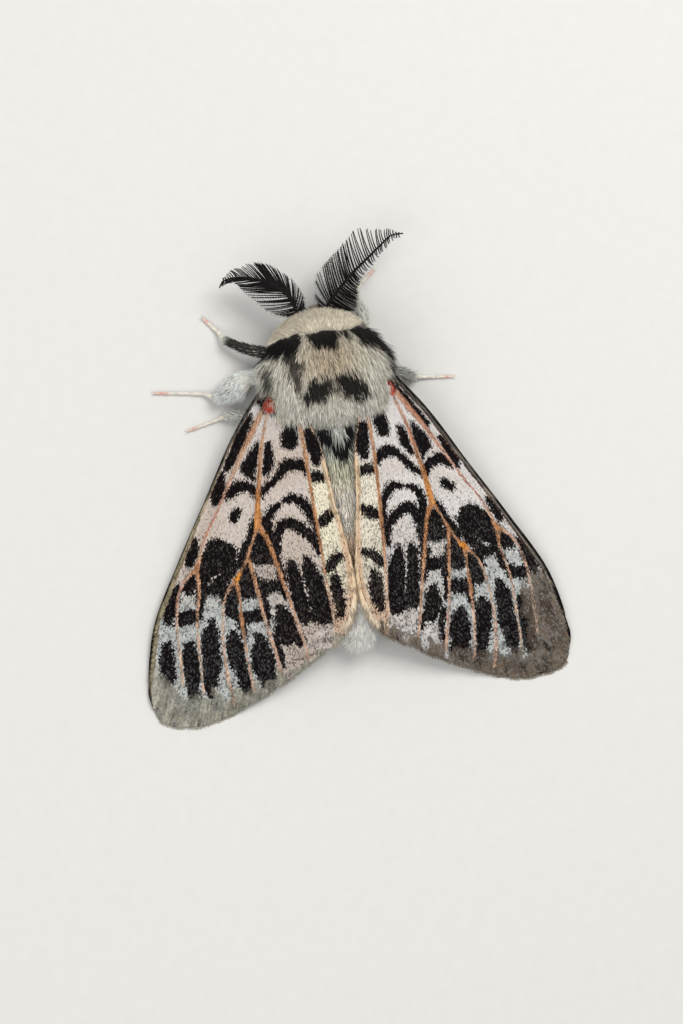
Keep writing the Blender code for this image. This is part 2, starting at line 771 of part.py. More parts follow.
def build():
    """Make every node."""
    clear_scene()
    moth = collection("tussock_moth")
    tools = collection("cutters")
    wool = material("wool", (0.62, 0.58, 0.46), 0.95)
    scales = material("scales", (0.66, 0.62, 0.57), 0.85)
    dark = material("dark", (0.03, 0.025, 0.02), 0.5)
    pale = material("pale", (0.7, 0.62, 0.55), 0.8)

    build_body(moth, tools, wool, dark)
    for name, shaft, combs, droops in (
        ("antenna_left", SHAFT_LEFT, (AHEAD_LEFT, BEHIND_LEFT), DROOPS_LEFT),
        ("antenna_right", SHAFT_RIGHT, (AHEAD_RIGHT, BEHIND_RIGHT), DROOPS_RIGHT),
    ):
        made = feeler(name, shaft, combs, droops, moth, tools, dark)
        boolean(made, [ball_room(HEAD_CENTRE, HEAD_HALF, GAP, tools)], "DIFFERENCE")
    for name, joints in LEGS.items():
        made = leg(name, joints, moth, tools, pale)
        boolean(made, [ball_room(THORAX_CENTRE, THORAX_CORE, GAP, tools)], "DIFFERENCE")
    for side, word in ((1, "left"), (-1, "right")):
        wing = forewing("forewing_" + word, side, moth, scales)
        boolean(wing, [ball_room(THORAX_CENTRE, THORAX_CORE, GAP, tools)], "DIFFERENCE")
        wing = hindwing("hindwing_" + word, side, moth, scales)
        boolean(wing, [ball_room(THORAX_CENTRE, THORAX_CORE, COAT_DEPTH + 2 * GAP, tools)], "DIFFERENCE")
    centre_on_floor(moth)


build()
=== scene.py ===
"""Looks of the life-size moth model: wings, coat, feelers, eyes, legs, floor, light and camera.

Sizes are in millimetres in the body's own frame: across (the moth's left is +x), along (aft of the
head is +y) and up. BodyFrame carries them into the CAD frame's metres.
"""
from __future__ import annotations

import logging
import math
from dataclasses import dataclass, field
from enum import Enum
from typing import Callable, Sequence

import bpy
import numpy as np
from mathutils import Matrix, Vector
from mathutils.geometry import delaunay_2d_cdt

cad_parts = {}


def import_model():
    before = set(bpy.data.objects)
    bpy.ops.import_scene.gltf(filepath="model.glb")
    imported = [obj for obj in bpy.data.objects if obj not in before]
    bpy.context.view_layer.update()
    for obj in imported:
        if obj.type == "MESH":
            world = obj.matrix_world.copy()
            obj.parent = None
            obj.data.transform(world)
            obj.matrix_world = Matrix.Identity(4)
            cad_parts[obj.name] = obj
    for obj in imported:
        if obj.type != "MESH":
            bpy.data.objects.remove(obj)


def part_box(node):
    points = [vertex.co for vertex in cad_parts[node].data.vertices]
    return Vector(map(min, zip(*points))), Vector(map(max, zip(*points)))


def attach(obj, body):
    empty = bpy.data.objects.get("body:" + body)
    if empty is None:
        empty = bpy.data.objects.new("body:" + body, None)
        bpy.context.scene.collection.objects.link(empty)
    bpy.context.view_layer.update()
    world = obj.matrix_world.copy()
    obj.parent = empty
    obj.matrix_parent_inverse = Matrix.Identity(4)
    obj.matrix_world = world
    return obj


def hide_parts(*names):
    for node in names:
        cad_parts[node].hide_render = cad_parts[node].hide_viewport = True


LOG = logging.getLogger("moth")
Points = np.ndarray
Colour = tuple[float, float, float]

MM = 0.001
IMAGE_HEIGHT = 1024
SHEET_CLEARANCE = 0.55


class Side(Enum):
    """The two sides of the moth, by the sign of x."""

    LEFT = 1
    RIGHT = -1

    @property
    def word(self) -> str:
        """The side's name as CAD nodes have it."""
        return self.name.lower()


class Slot(str, Enum):
    """The record's material slots."""

    WOOL = "wool"
    WING = "wing"
    HINDWING = "hindwing"
    LEG = "leg"
    ANTENNA = "antenna"
    EYE = "eye"


class Cell(Enum):
    """The gaps between neighbouring vein lines, from the inner margin out to the costa."""

    MARGIN = 0
    CUBITAL = 1
    FIRST = 2
    SECOND = 3
    THIRD = 4
    DISC = 5
    FORK = 6
    COSTAL = 7


def srgb(red: float, green: float, blue: float) -> Colour:
    """Turn display colour values of 0 to 255 into linear light.

    Args:
        red: Display red.
        green: Display green.
        blue: Display blue.

    Returns:
        The linear colour.
    """
    def channel(value: float) -> float:
        """One channel in linear light."""
        share = value / 255
        return share / 12.92 if share <= 0.04045 else ((share + 0.055) / 1.055) ** 2.4
    return channel(red), channel(green), channel(blue)


WHITE_SCALE = srgb(184, 182, 181)
COOL_SCALE = srgb(170, 174, 173)
ROSY_SCALE = srgb(172, 160, 151)
CREAM_SCALE = srgb(198, 192, 172)
TAN_SCALE = srgb(184, 156, 130)
PINK_TAN = srgb(188, 162, 140)
BLACK_SCALE = srgb(6, 4, 6)
WORN_LEFT = srgb(144, 141, 129)
WORN_RIGHT = srgb(91, 80, 69)
ORANGE_VEIN = srgb(164, 116, 80)
GOLD_VEIN = srgb(198, 130, 54)
PINK_VEIN = srgb(176, 112, 94)
PALE_VEIN = srgb(192, 164, 144)
RED_SPOT = srgb(206, 66, 50)
DUSKY = srgb(150, 132, 108)
COAT_GREY = srgb(246, 240, 226)
COAT_OCHRE = srgb(222, 207, 183)
COLLAR_CREAM = srgb(224, 215, 195)
COAT_DARK = srgb(15, 11, 10)
ABDOMEN_CREAM = srgb(222, 220, 194)
ABDOMEN_DARK = srgb(44, 40, 34)
TAIL_WHITE = srgb(252, 249, 238)
FEELER_BLACK = srgb(11, 9, 9)
TARSUS_PINK = srgb(232, 164, 150)
LEG_WHITE = srgb(238, 234, 230)
LEG_GREY = srgb(196, 200, 192)
LEG_SKIN = srgb(196, 186, 172)


# Curves and fields

def clamp(value: Points, low: float = 0.0, high: float = 1.0) -> Points:
    """The values kept between low and high."""
    return np.clip(value, low, high)


def ramp(value: Points, start: float, end: float) -> Points:
    """Rise smoothly from 0 to 1.

    Args:
        value: The values to read.
        start: Where the rise starts.
        end: Where the rise ends.

    Returns:
        The share of the rise at each value.
    """
    share = clamp((np.asarray(value, float) - start) / (end - start))
    return share * share * (3 - 2 * share)


def unit(vectors: Points) -> Points:
    """The vectors at length 1."""
    return vectors / np.maximum(np.linalg.norm(vectors, axis=-1, keepdims=True), 1e-9)


def smooth_line(points: Sequence[Sequence[float]], steps: int, closed: bool = False) -> Points:
    """Pass a Catmull-Rom curve through points.

    Args:
        points: The points to pass.
        steps: The pieces between two points.
        closed: Whether the last point joins the first.

    Returns:
        The points of the curve.
    """
    base = np.asarray(points, float)
    count = len(base)
    spans = count if closed else count - 1
    line = []
    for span in range(spans):
        if closed:
            before, start, end, after = (base[(span + k) % count] for k in (-1, 0, 1, 2))
        else:
            start, end = base[span], base[span + 1]
            before = base[span - 1] if span else 2 * start - end
            after = base[span + 2] if span + 2 < count else 2 * end - start
        for t in np.arange(steps) / steps:
            line.append(0.5 * (2 * start + (end - before) * t
                               + (2 * before - 5 * start + 4 * end - after) * t * t
                               + (3 * start - before - 3 * end + after) * t ** 3))
    if not closed:
        line.append(base[-1])
    return np.array(line)


def even_line(points: Points, count: int) -> Points:
    """Space points evenly along a line.

    Args:
        points: The line.
        count: The points wanted.

    Returns:
        The evenly spaced points.
    """
    runs = np.concatenate([[0.0], np.cumsum(np.linalg.norm(np.diff(points, axis=0), axis=1))])
    at = np.linspace(0, runs[-1], count)
    return np.stack([np.interp(at, runs, points[:, k]) for k in range(points.shape[1])], axis=1)


def line_depth(x: Points, y: Points, spine: Points) -> Points:
    """Measure how deep points lie in a stroke whose half width varies.

    Args:
        x: Across, of each point.
        y: Along, of each point.
        spine: Rows of across, along and half width.

    Returns:
        The depth of each point, below 0 outside the stroke.
    """
    best = np.full(x.shape, -1e3)
    for start, end in zip(spine[:-1], spine[1:]):
        run = end[:2] - start[:2]
        share = clamp(((x - start[0]) * run[0] + (y - start[1]) * run[1]) / max(run @ run, 1e-9))
        away = np.hypot(x - start[0] - share * run[0], y - start[1] - share * run[1])
        best = np.maximum(best, start[2] + share * (end[2] - start[2]) - away)
    return best


def wave_noise(x: Points, y: Points, size: float, seed: int) -> Points:
    """Add up a few crossed waves into a smooth uneven field between about -1 and 1.

    Args:
        x: Across, of each point.
        y: Along, of each point.
        size: The size of the unevenness.
        seed: Which of the fields.

    Returns:
        The field at each point.
    """
    rng = np.random.default_rng(seed)
    total = np.zeros(np.shape(x))
    for _ in range(7):
        turn = rng.uniform(0, math.tau)
        pitch = math.tau / (size * rng.uniform(0.7, 1.6))
        total += np.sin((x * math.cos(turn) + y * math.sin(turn)) * pitch + rng.uniform(0, math.tau))
    return total / 3.2


# Shader nodes

@dataclass(frozen=True)
class Wire:
    """One output of a node, with sums and products as operators."""

    graph: "Graph"
    socket: bpy.types.NodeSocket

    def _math(self, kind: str, one: object, two: object) -> "Wire":
        """One Math node on two values."""
        return self.graph.node("ShaderNodeMath", {0: one, 1: two}, operation=kind)

    def __add__(self, other: object) -> "Wire":
        """The sum."""
        return self._math("ADD", self, other)

    __radd__ = __add__

    def __sub__(self, other: object) -> "Wire":
        """The difference."""
        return self._math("SUBTRACT", self, other)

    def __rsub__(self, other: object) -> "Wire":
        """The difference the other way round."""
        return self._math("SUBTRACT", other, self)

    def __mul__(self, other: object) -> "Wire":
        """The product."""
        return self._math("MULTIPLY", self, other)

    __rmul__ = __mul__

    def __truediv__(self, other: object) -> "Wire":
        """The quotient."""
        return self._math("DIVIDE", self, other)

    def less(self, other: object) -> "Wire":
        """1 where this is below the other."""
        return self._math("LESS_THAN", self, other)

    def clamped(self) -> "Wire":
        """The value kept between 0 and 1."""
        return self.graph.node("ShaderNodeClamp", {0: self})

    def edge(self, softness: float) -> "Wire":
        """1 where this is above 0, with a soft edge."""
        return (self / softness + 0.5).clamped()


class Graph:
    """One material and the nodes in it."""

    def __init__(self, name: str) -> None:
        """Start an empty material.

        Args:
            name: The material's name.
        """
        self.material = bpy.data.materials.new(name)
        self.material.use_nodes = True
        self.tree = self.material.node_tree
        self.tree.nodes.clear()
        self.made = 0

    def node(self, kind: str, inputs: dict | None = None, output: int | str = 0, **settings: object) -> Wire:
        """Make a node.

        Args:
            kind: The node's type.
            inputs: Values or wires by socket name or number.
            output: The output wanted.
            settings: The node's own properties.

        Returns:
            The wire of that output.
        """
        made = self.tree.nodes.new(kind)
        made.location = (180 * (self.made % 12), -220 * (self.made // 12))
        self.made += 1
        for key, value in settings.items():
            setattr(made, key, value)
        for key, value in (inputs or {}).items():
            if isinstance(value, Wire):
                self.tree.links.new(value.socket, made.inputs[key])
            else:
                made.inputs[key].default_value = value
        return Wire(self, made.outputs[output])

    def value(self, name: str) -> Wire:
        """A number carried by the mesh."""
        return self.node("ShaderNodeAttribute", output="Fac", attribute_name=name)

    def colour(self, name: str) -> Wire:
        """A colour carried by the mesh."""
        return self.node("ShaderNodeAttribute", output="Color", attribute_name=name)

    def place(self, name: str) -> Wire:
        """A place carried by the mesh."""
        return self.node("ShaderNodeAttribute", output="Vector", attribute_name=name)

    def object_place(self) -> Wire:
        """The place on the piece, in metres."""
        return self.node("ShaderNodeTexCoord", output="Object")

    def scaled(self, place: Wire, scale: Sequence[float]) -> Wire:
        """A place stretched along its axes."""
        return self.node("ShaderNodeMapping", {"Vector": place, "Scale": tuple(scale)})

    def noise(self, place: Wire, scale: float, detail: float = 3.0) -> Wire:
        """Soft noise about 0.5."""
        return self.node("ShaderNodeTexNoise", {"Vector": place, "Scale": scale, "Detail": detail})

    def mix(self, share: object, one: object, two: object) -> Wire:
        """Mix two colours.

        Args:
            share: How much of the second.
            one: The first colour.
            two: The second colour.

        Returns:
            The mixed colour.
        """
        made = self.node("ShaderNodeMix", data_type="RGBA", output=2)
        node = made.socket.node
        for index, value in ((0, share), (6, one), (7, two)):
            if isinstance(value, Wire):
                self.tree.links.new(value.socket, node.inputs[index])
            elif index:
                node.inputs[index].default_value = (*value, 1.0)
            else:
                node.inputs[index].default_value = value
        return made

    def shade(self, colour: Wire, amount: Wire) -> Wire:
        """A colour made lighter or darker by a factor."""
        return self.node("ShaderNodeVectorMath", {0: colour, "Scale": amount}, operation="SCALE")

    def bump(self, height: Wire, strength: float, depth: float) -> Wire:
        """Relief from a height.

        Args:
            height: The height from 0 to 1.
            strength: The share of the relief.
            depth: The relief's depth in millimetres.

        Returns:
            The bent normal.
        """
        return self.node("ShaderNodeBump", {"Height": height, "Strength": strength, "Distance": depth * MM})

    def finish(self, **inputs: object) -> bpy.types.Material:
        """Close the material with its surface shader.

        Args:
            inputs: The shader's sockets, with _ for a space in a name.

        Returns:
            The finished material.
        """
        named = {key.replace("_", " "): value for key, value in inputs.items()}
        surface = self.node("ShaderNodeBsdfPrincipled", named)
        self.node_output(surface)
        return self.material

    def node_output(self, surface: Wire) -> None:
        """Wire the surface to the material's output."""
        out = self.tree.nodes.new("ShaderNodeOutputMaterial")
        self.tree.links.new(surface.socket, out.inputs["Surface"])


# Finishes

@dataclass(frozen=True)
class WingFinish:
    """Overlapping wing scales, black and white, with orange veins."""

    name: str = "forewing_scales"
    scale_width: float = 0.085
    scale_length: float = 0.15
    edge_spread: float = 0.38
    bleed: float = 0.12
    vein_trim: float = 0.02
    odd_pale: float = 0.09
    odd_dark: float = 0.62
    dusty_ink: Colour = srgb(66, 56, 54)
    worn_ink: Colour = srgb(58, 50, 44)
    bright_vein: Colour = srgb(206, 184, 164)
    roughness: float = 0.66

    def material(self) -> bpy.types.Material:
        """Read the wing's attributes into a scaled surface.

        Returns:
            The wing's material.
        """
        g = Graph(self.name)
        flow = g.place("flow")
        rows = g.scaled(flow, (1 / self.scale_width, 1 / self.scale_length, 1.0))
        scales = g.node("ShaderNodeTexVoronoi", {"Vector": rows, "Scale": 1.0}, "Color",
                        voronoi_dimensions="2D")
        edge = Wire(g, scales.socket.node.outputs["Distance"])
        parts = g.node("ShaderNodeSeparateColor", {0: scales})
        one, two, three = (Wire(g, parts.socket.node.outputs[k]) for k in range(3))
        streaks = g.noise(g.scaled(flow, (4.2, 0.36, 1.0)), 1.0, 5.0)
        worn = g.value("wear")
        tatter = ((streaks - 0.5) * 3.0 + (two - 0.5) * 2.3) * worn * (1.3 - worn)
        bare = (worn * 1.6 - 0.55 + tatter).edge(0.1)
        wobble = (g.noise(flow, 2.4) - 0.5) * 0.46
        ink = g.value("ink") + self.bleed + wobble + (one - 0.5) * self.edge_spread
        odd = two.less(g.value("speck"))
        black = ink.edge(0.07)
        black = black * (1 - odd * self.odd_pale) + (1 - black) * odd * self.odd_dark
        light = 0.72 + three * 0.46 + streaks * 0.16
        ground = g.shade(g.colour("ground"), light)
        ink_tone = g.mix(three * three * 0.17, BLACK_SCALE, self.dusty_ink)
        colour = g.mix(black, ground, ink_tone)
        creases = g.noise(g.scaled(flow, (9.0, 0.7, 1.0)), 1.0, 3.0)
        patches = g.noise(g.scaled(flow, (1.1, 0.6, 1.0)), 1.0, 4.0)
        film = g.shade(g.colour("bare"), 0.1 + (streaks + patches - 1.0) * 2.4 + creases * 1.3 + three * 0.5)
        film = g.mix(black * (0.25 + 0.6 * three), film, self.worn_ink)
        film = g.mix(odd * 0.3, film, ground)
        colour = g.mix(bare * (0.7 + 0.3 * worn), colour, film)
        rib = g.value("vein") - self.vein_trim + (one - 0.5) * 0.16
        core = (rib / 0.17).clamped()
        vein = rib.edge(0.06)
        threads = (g.noise(g.scaled(flow, (3.4, 0.5, 1.0)), 1.0, 3.0) - 0.5) * 1.5
        flecks = 1 - 0.5 * one.less(0.14 + (1 - core) * 0.2)
        # The vein's tint is lighter at its core and darker at its edges: painted shade that makes the raised
        # vein look round.
        vein_tint = g.shade(g.colour("vein_tint"),
                            (0.2 + core * 0.38 + three * 0.5 + threads + streaks * 0.26) * flecks)
        dusk = ((g.noise(g.scaled(flow, (1.6, 0.7, 1.0)), 1.0) - 0.42) * 3.0).clamped()
        vein_tint = g.shade(vein_tint, 1.1 - dusk * 0.5)
        vein_tint = g.mix((threads * 1.4 - 0.12).clamped() * 0.5, vein_tint, self.bright_vein)
        colour = g.mix(vein, colour, vein_tint)
        clear = 1 - bare * worn * (0.06 + 0.4 * streaks) * (1 - 0.7 * vein)
        relief = g.bump(1 - edge, 0.5, 0.025)
        return g.finish(Base_Color=colour, Roughness=self.roughness, Normal=relief, Alpha=clear,
                        Specular_IOR_Level=0.035)


@dataclass(frozen=True)
class HindwingFinish:
    """Dusky ochre scales, thin and plain."""

    name: str = "hindwing_scales"

    def material(self) -> bpy.types.Material:
        """Dusky scales with browner veins.

        Returns:
            The hindwing's material.
        """
        g = Graph(self.name)
        flow = g.place("flow")
        rows = g.scaled(flow, (8.0, 4.5, 1.0))
        scales = g.node("ShaderNodeTexVoronoi", {"Vector": rows, "Scale": 1.0}, "Color",
                        voronoi_dimensions="2D")
        edge = Wire(g, scales.socket.node.outputs["Distance"])
        tone = g.node("ShaderNodeSeparateColor", {0: scales})
        colour = g.mix(g.value("vein").edge(0.1), DUSKY, srgb(190, 140, 96))
        colour = g.mix(g.noise(flow, 0.5) * 0.6, colour, srgb(205, 188, 160))
        colour = g.shade(colour, 0.75 + tone * 0.4)
        return g.finish(Base_Color=colour, Roughness=0.7, Normal=g.bump(1 - edge, 0.4, 0.02),
                        Sheen_Weight=0.1)


@dataclass(frozen=True)
class HairFinish:
    """Fine hair that carries its own tint."""

    name: str
    gloss: float = 0.62
    shine: float = 0.2

    def material(self) -> bpy.types.Material:
        """Hair tinted by its attribute, with uneven strands.

        Returns:
            The hair's material.
        """
        g = Graph(self.name)
        place = g.object_place()
        uneven = g.noise(place, 2200.0, 2.0)
        colour = g.shade(g.colour("tint"), 0.72 + uneven * 0.56)
        rough = self.gloss + 0.2 * g.noise(place, 600.0, 1.0)
        return g.finish(Base_Color=colour, Roughness=rough, Sheen_Weight=0.04, Specular_IOR_Level=self.shine,
                        Normal=g.bump(uneven, 0.3, 0.03))


@dataclass(frozen=True)
class ShellFinish:
    """Dark horny skin, as on feelers and claws."""

    name: str
    tone: Colour = FEELER_BLACK
    sheen: float = 0.45
    shine: float = 0.1
    lift: float = 0.0015

    def material(self) -> bpy.types.Material:
        """Dark skin with fine grain.

        Returns:
            The shell's material.
        """
        g = Graph(self.name)
        place = g.object_place()
        grain = g.noise(place, 5200.0, 3.0)
        lighter = tuple(min(0.9, channel * 1.8 + self.lift) for channel in self.tone)
        colour = g.mix(g.noise(place, 900.0) * grain, self.tone, lighter)
        return g.finish(Base_Color=colour, Roughness=self.sheen + 0.25 * grain, Specular_IOR_Level=self.shine,
                        Normal=g.bump(grain, 0.4, 0.02))


@dataclass(frozen=True)
class EyeFinish:
    """A dark faceted eye."""

    name: str = "faceted_eye"
    facet: float = 0.045

    def material(self) -> bpy.types.Material:
        """Glossy dark facets over a brown depth.

        Returns:
            The eye's material.
        """
        g = Graph(self.name)
        place = g.object_place()
        cells = g.node("ShaderNodeTexVoronoi", {"Vector": place, "Scale": 1 / (self.facet * MM)}, "Distance")
        mottle = g.noise(place, 1500.0)
        colour = g.mix(mottle * 0.7, srgb(14, 11, 10), srgb(72, 46, 32))
        return g.finish(Base_Color=colour, Roughness=0.16 + 0.12 * mottle, Coat_Weight=0.6,
                        Coat_Roughness=0.08, Normal=g.bump(1 - cells, 0.5, 0.012))


@dataclass(frozen=True)
class FloorFinish:
    """Plain pale floor."""

    name: str = "pale_floor"
    tone: Colour = srgb(200, 200, 198)
    grain_reach: float = 0.03

    def material(self) -> bpy.types.Material:
        """A matt pale floor with very faint grain.

        Returns:
            The floor's material.
        """
        g = Graph(self.name)
        grain = g.noise(g.object_place(), 900.0, 2.0)
        darker = tuple(part * (1 - self.grain_reach) for part in self.tone)
        paler = tuple(part * (1 + self.grain_reach) for part in self.tone)
        return g.finish(Base_Color=g.mix(grain, darker, paler), Roughness=0.9)


# Meshes

@dataclass(frozen=True)
class BodyFrame:
    """Carries body millimetres into the CAD frame's metres."""

    shift: Vector

    @classmethod
    def from_eyes(cls, eye: "EyePlan") -> "BodyFrame":
        """Find the shift from where the CAD eyes are.

        Args:
            eye: Where the eyes are in body millimetres.

        Returns:
            The frame.
        """
        corners = [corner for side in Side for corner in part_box(f"eye_{side.word}")]
        middle = sum(corners, Vector()) / len(corners)
        return cls(middle - Vector((0.0, eye.along, eye.up)) * MM)

    def place(self, points: Points) -> Points:
        """The points in the frame's metres."""
        return np.asarray(points, float) * MM + np.array(self.shift)


@dataclass
class MeshData:
    """Points and triangles of one piece, in body millimetres, with what they carry."""

    points: Points
    triangles: Points
    values: dict[str, Points] = field(default_factory=dict)
    colours: dict[str, Points] = field(default_factory=dict)
    places: dict[str, Points] = field(default_factory=dict)
    patch: Points | None = None

    @classmethod
    def joined(cls, parts: Sequence["MeshData"]) -> "MeshData":
        """Join parts that carry the same attributes.

        Args:
            parts: The parts.

        Returns:
            One mesh.
        """
        starts = np.cumsum([0] + [len(part.points) for part in parts[:-1]])
        first = parts[0]
        return cls(
            np.concatenate([part.points for part in parts]),
            np.concatenate([part.triangles + start for part, start in zip(parts, starts)]),
            {key: np.concatenate([part.values[key] for part in parts]) for key in first.values},
            {key: np.concatenate([part.colours[key] for part in parts]) for key in first.colours},
            {key: np.concatenate([part.places[key] for part in parts]) for key in first.places},
            None if first.patch is None else np.concatenate([part.patch for part in parts]))


@dataclass
class Workshop:
    """Turns mesh data into finished pieces of the frame."""

    frame: BodyFrame
    finishes: dict[str, bpy.types.Material] = field(default_factory=dict)

    def finish(self, finish: object) -> bpy.types.Material:
        """The finish's material, made once."""
        if finish.name not in self.finishes:
            self.finishes[finish.name] = finish.material()
        return self.finishes[finish.name]

    def mesh(self, name: str, data: MeshData) -> bpy.types.Mesh:
        """Fill a Blender mesh.

        Args:
            name: The mesh's name.
            data: Points, triangles and attributes.

        Returns:
            The mesh, in the frame's metres.
        """
        mesh = bpy.data.meshes.new(name)
        count, faces = len(data.points), len(data.triangles)
        mesh.vertices.add(count)
        mesh.vertices.foreach_set("co", self.frame.place(data.points).ravel())
        mesh.loops.add(faces * 3)
        mesh.loops.foreach_set("vertex_index", data.triangles.ravel().astype(np.int32))
        mesh.polygons.add(faces)
        mesh.polygons.foreach_set("loop_start", np.arange(0, faces * 3, 3, dtype=np.int32))
        mesh.update(calc_edges=True)
        mesh.polygons.foreach_set("use_smooth", np.ones(faces, bool))
        for key, value in data.values.items():
            mesh.attributes.new(key, "FLOAT", "POINT").data.foreach_set("value", value.astype(np.float32))
        for key, value in data.places.items():
            mesh.attributes.new(key, "FLOAT_VECTOR", "POINT").data.foreach_set("vector", value.ravel())
        for key, value in data.colours.items():
            full = np.concatenate([value, np.ones((count, 1))], axis=1)
            mesh.attributes.new(key, "FLOAT_COLOR", "POINT").data.foreach_set("color", full.ravel())
        if data.patch is not None:
            layer = mesh.uv_layers.new(name="OFBake")
            layer.data.foreach_set("uv", data.patch[data.triangles.ravel()].ravel().astype(np.float32))
        return mesh

    def piece(self, name: str, data: MeshData, finish: object,
              nodes: Sequence[str]) -> bpy.types.Object:
        """Make a finished piece.

        Args:
            name: The piece's name.
            data: Its mesh data.
            finish: Its finish.
            nodes: The CAD nodes that it stands for.

        Returns:
            The piece.
        """
        made = bpy.data.objects.new(name, self.mesh(name, data))
        bpy.context.scene.collection.objects.link(made)
        return self.settle(made, finish, nodes)

    def settle(self, made: bpy.types.Object, finish: object,
               nodes: Sequence[str]) -> bpy.types.Object:
        """Dress a piece and tie it to the frame.

        Args:
            made: The piece.
            finish: Its finish.
            nodes: The CAD nodes that it stands for.

        Returns:
            The piece.
        """
        made.data.materials.clear()
        made.data.materials.append(self.finish(finish))
        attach(made, "root")
        if nodes:
            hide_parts(*nodes)
        LOG.info("%s: %d faces", made.name, len(made.data.polygons))
        return made


def side_frames(line: Points) -> tuple[Points, Points]:
    """Carry two crossing directions along a line without twist.

    Args:
        line: The line.

    Returns:
        The two directions at each point.
    """
    runs = unit(np.gradient(line, axis=0))
    first = np.cross(runs[0], (0.0, 0.0, 1.0))
    if np.linalg.norm(first) < 0.1:
        first = np.array((1.0, 0.0, 0.0))
    ones = [first / np.linalg.norm(first)]
    for run in runs[1:]:
        turned = ones[-1] - run * (ones[-1] @ run)
        ones.append(turned / max(np.linalg.norm(turned), 1e-9))
    one = np.array(ones)
    return one, np.cross(runs, one)


def tube(line: Points, radii: Points, sides: int) -> MeshData:
    """Sweep a round closed tube along a line.

    Args:
        line: The middle line.
        radii: The radius at each point.
        sides: The sides of the tube.

    Returns:
        The tube, whose last ring closes in a point.
    """
    one, two = side_frames(line)
    turns = np.linspace(0, math.tau, sides, endpoint=False)
    rings = (line[:, None] + np.asarray(radii)[:, None, None]
             * (one[:, None] * np.cos(turns)[None, :, None] + two[:, None] * np.sin(turns)[None, :, None]))
    count = len(line)
    points = np.concatenate([rings.reshape(-1, 3), line[:1], line[-1:]])
    around = np.arange(sides)
    after = (around + 1) % sides
    faces = []
    for ring in range(count - 1):
        low, high = ring * sides, (ring + 1) * sides
        faces.append(np.stack([low + around, low + after, high + after], axis=1))
        faces.append(np.stack([low + around, high + after, high + around], axis=1))
    start, end = count * sides, count * sides + 1
    last = (count - 1) * sides
    faces.append(np.stack([after, around, np.full(sides, start)], axis=1))
    faces.append(np.stack([last + around, last + after, np.full(sides, end)], axis=1))
    return MeshData(points, np.concatenate(faces))


@dataclass
class Tufts:
    """Thin tapered locks of a coat, from roots on a skin."""

    roots: Points
    lies: Points
    normals: Points
    lengths: Points
    widths: Points
    lifts: Points
    root_tint: Points
    tip_tint: Points
    unwrap: Points
    long_rings: bool = True
    patch_size: float = 0.003
    piece_limit: int = 12000

    def __len__(self) -> int:
        """The number of tufts."""
        return len(self.roots)

    def part(self, start: int, step: int) -> MeshData:
        """Build every step-th tuft.

        Args:
            start: The first tuft.
            step: The step from one to the next.

        Returns:
            The mesh of these tufts.
        """
        pick = slice(start, None, step)
        roots, lies, normals = self.roots[pick], self.lies[pick], self.normals[pick]
        lengths, widths, lifts = self.lengths[pick], self.widths[pick], self.lifts[pick]
        across = unit(np.cross(normals, lies))
        if self.long_rings:
            shares, widens = (0.0, 0.38, 0.76), (0.62, 1.0, 0.6)
        else:
            shares, widens = (0.0, 0.5), (0.75, 1.0)
        rows, tints, patches = [], [], []
        uv = self.unwrap[pick]
        for share, widen in zip((*shares, 1.0), (*widens, 0.0)):
            rise = lifts * lengths * (1.35 * share - 0.75 * share * share)
            middle = roots + lies * (lengths * share)[:, None] + normals * (rise - 0.03)[:, None]
            half = (widths * widen * 0.5)[:, None]
            tint = self.root_tint[pick] * (1 - share) + self.tip_tint[pick] * share
            corners = ((-1.0, 0.0), (1.0, 0.0), (0.0, 0.75)) if widen else ((0.0, 0.0),)
            for aside, up in corners:
                rows.append(middle + across * half * aside + normals * half * up)
                tints.append(tint)
                patches.append(uv + self.patch_size * np.array((aside * 0.5, share - 0.5)))
        count, corners = len(roots), len(rows)
        points = np.stack(rows, axis=1).reshape(-1, 3)
        points[:, 2] = np.maximum(points[:, 2], 0.012)
        faces = [(0, 2, 1)]
        for ring in range(len(shares) - 1):
            low = 3 * ring
            for k in range(3):
                after = (k + 1) % 3
                faces += [(low + k, low + after, low + 3 + after), (low + k, low + 3 + after, low + 3 + k)]
        last = 3 * (len(shares) - 1)
        faces += [(last + k, last + (k + 1) % 3, last + 3) for k in range(3)]
        triangles = (np.array(faces)[None] + corners * np.arange(count)[:, None, None]).reshape(-1, 3)
        return MeshData(points, triangles, colours={"tint": np.stack(tints, axis=1).reshape(-1, 3)},
                        patch=np.stack(patches, axis=1).reshape(-1, 2))

    def pieces(self, shop: Workshop, name: str, finish: HairFinish, slot: Slot) -> None:
        """Make the coat's pieces, each with its own share of the tufts.

        Args:
            shop: Where pieces are made.
            name: The coat's name.
            finish: The hair's finish.
            slot: The record's slot; not used.
        """
        limit = self.piece_limit if self.long_rings else int(self.piece_limit * 1.55)
        count = max(1, math.ceil(len(self) / limit))
        for index in range(count):
            shop.piece(f"{name}_{index + 1}" if count > 1 else name, self.part(index, count), finish,
                       ())


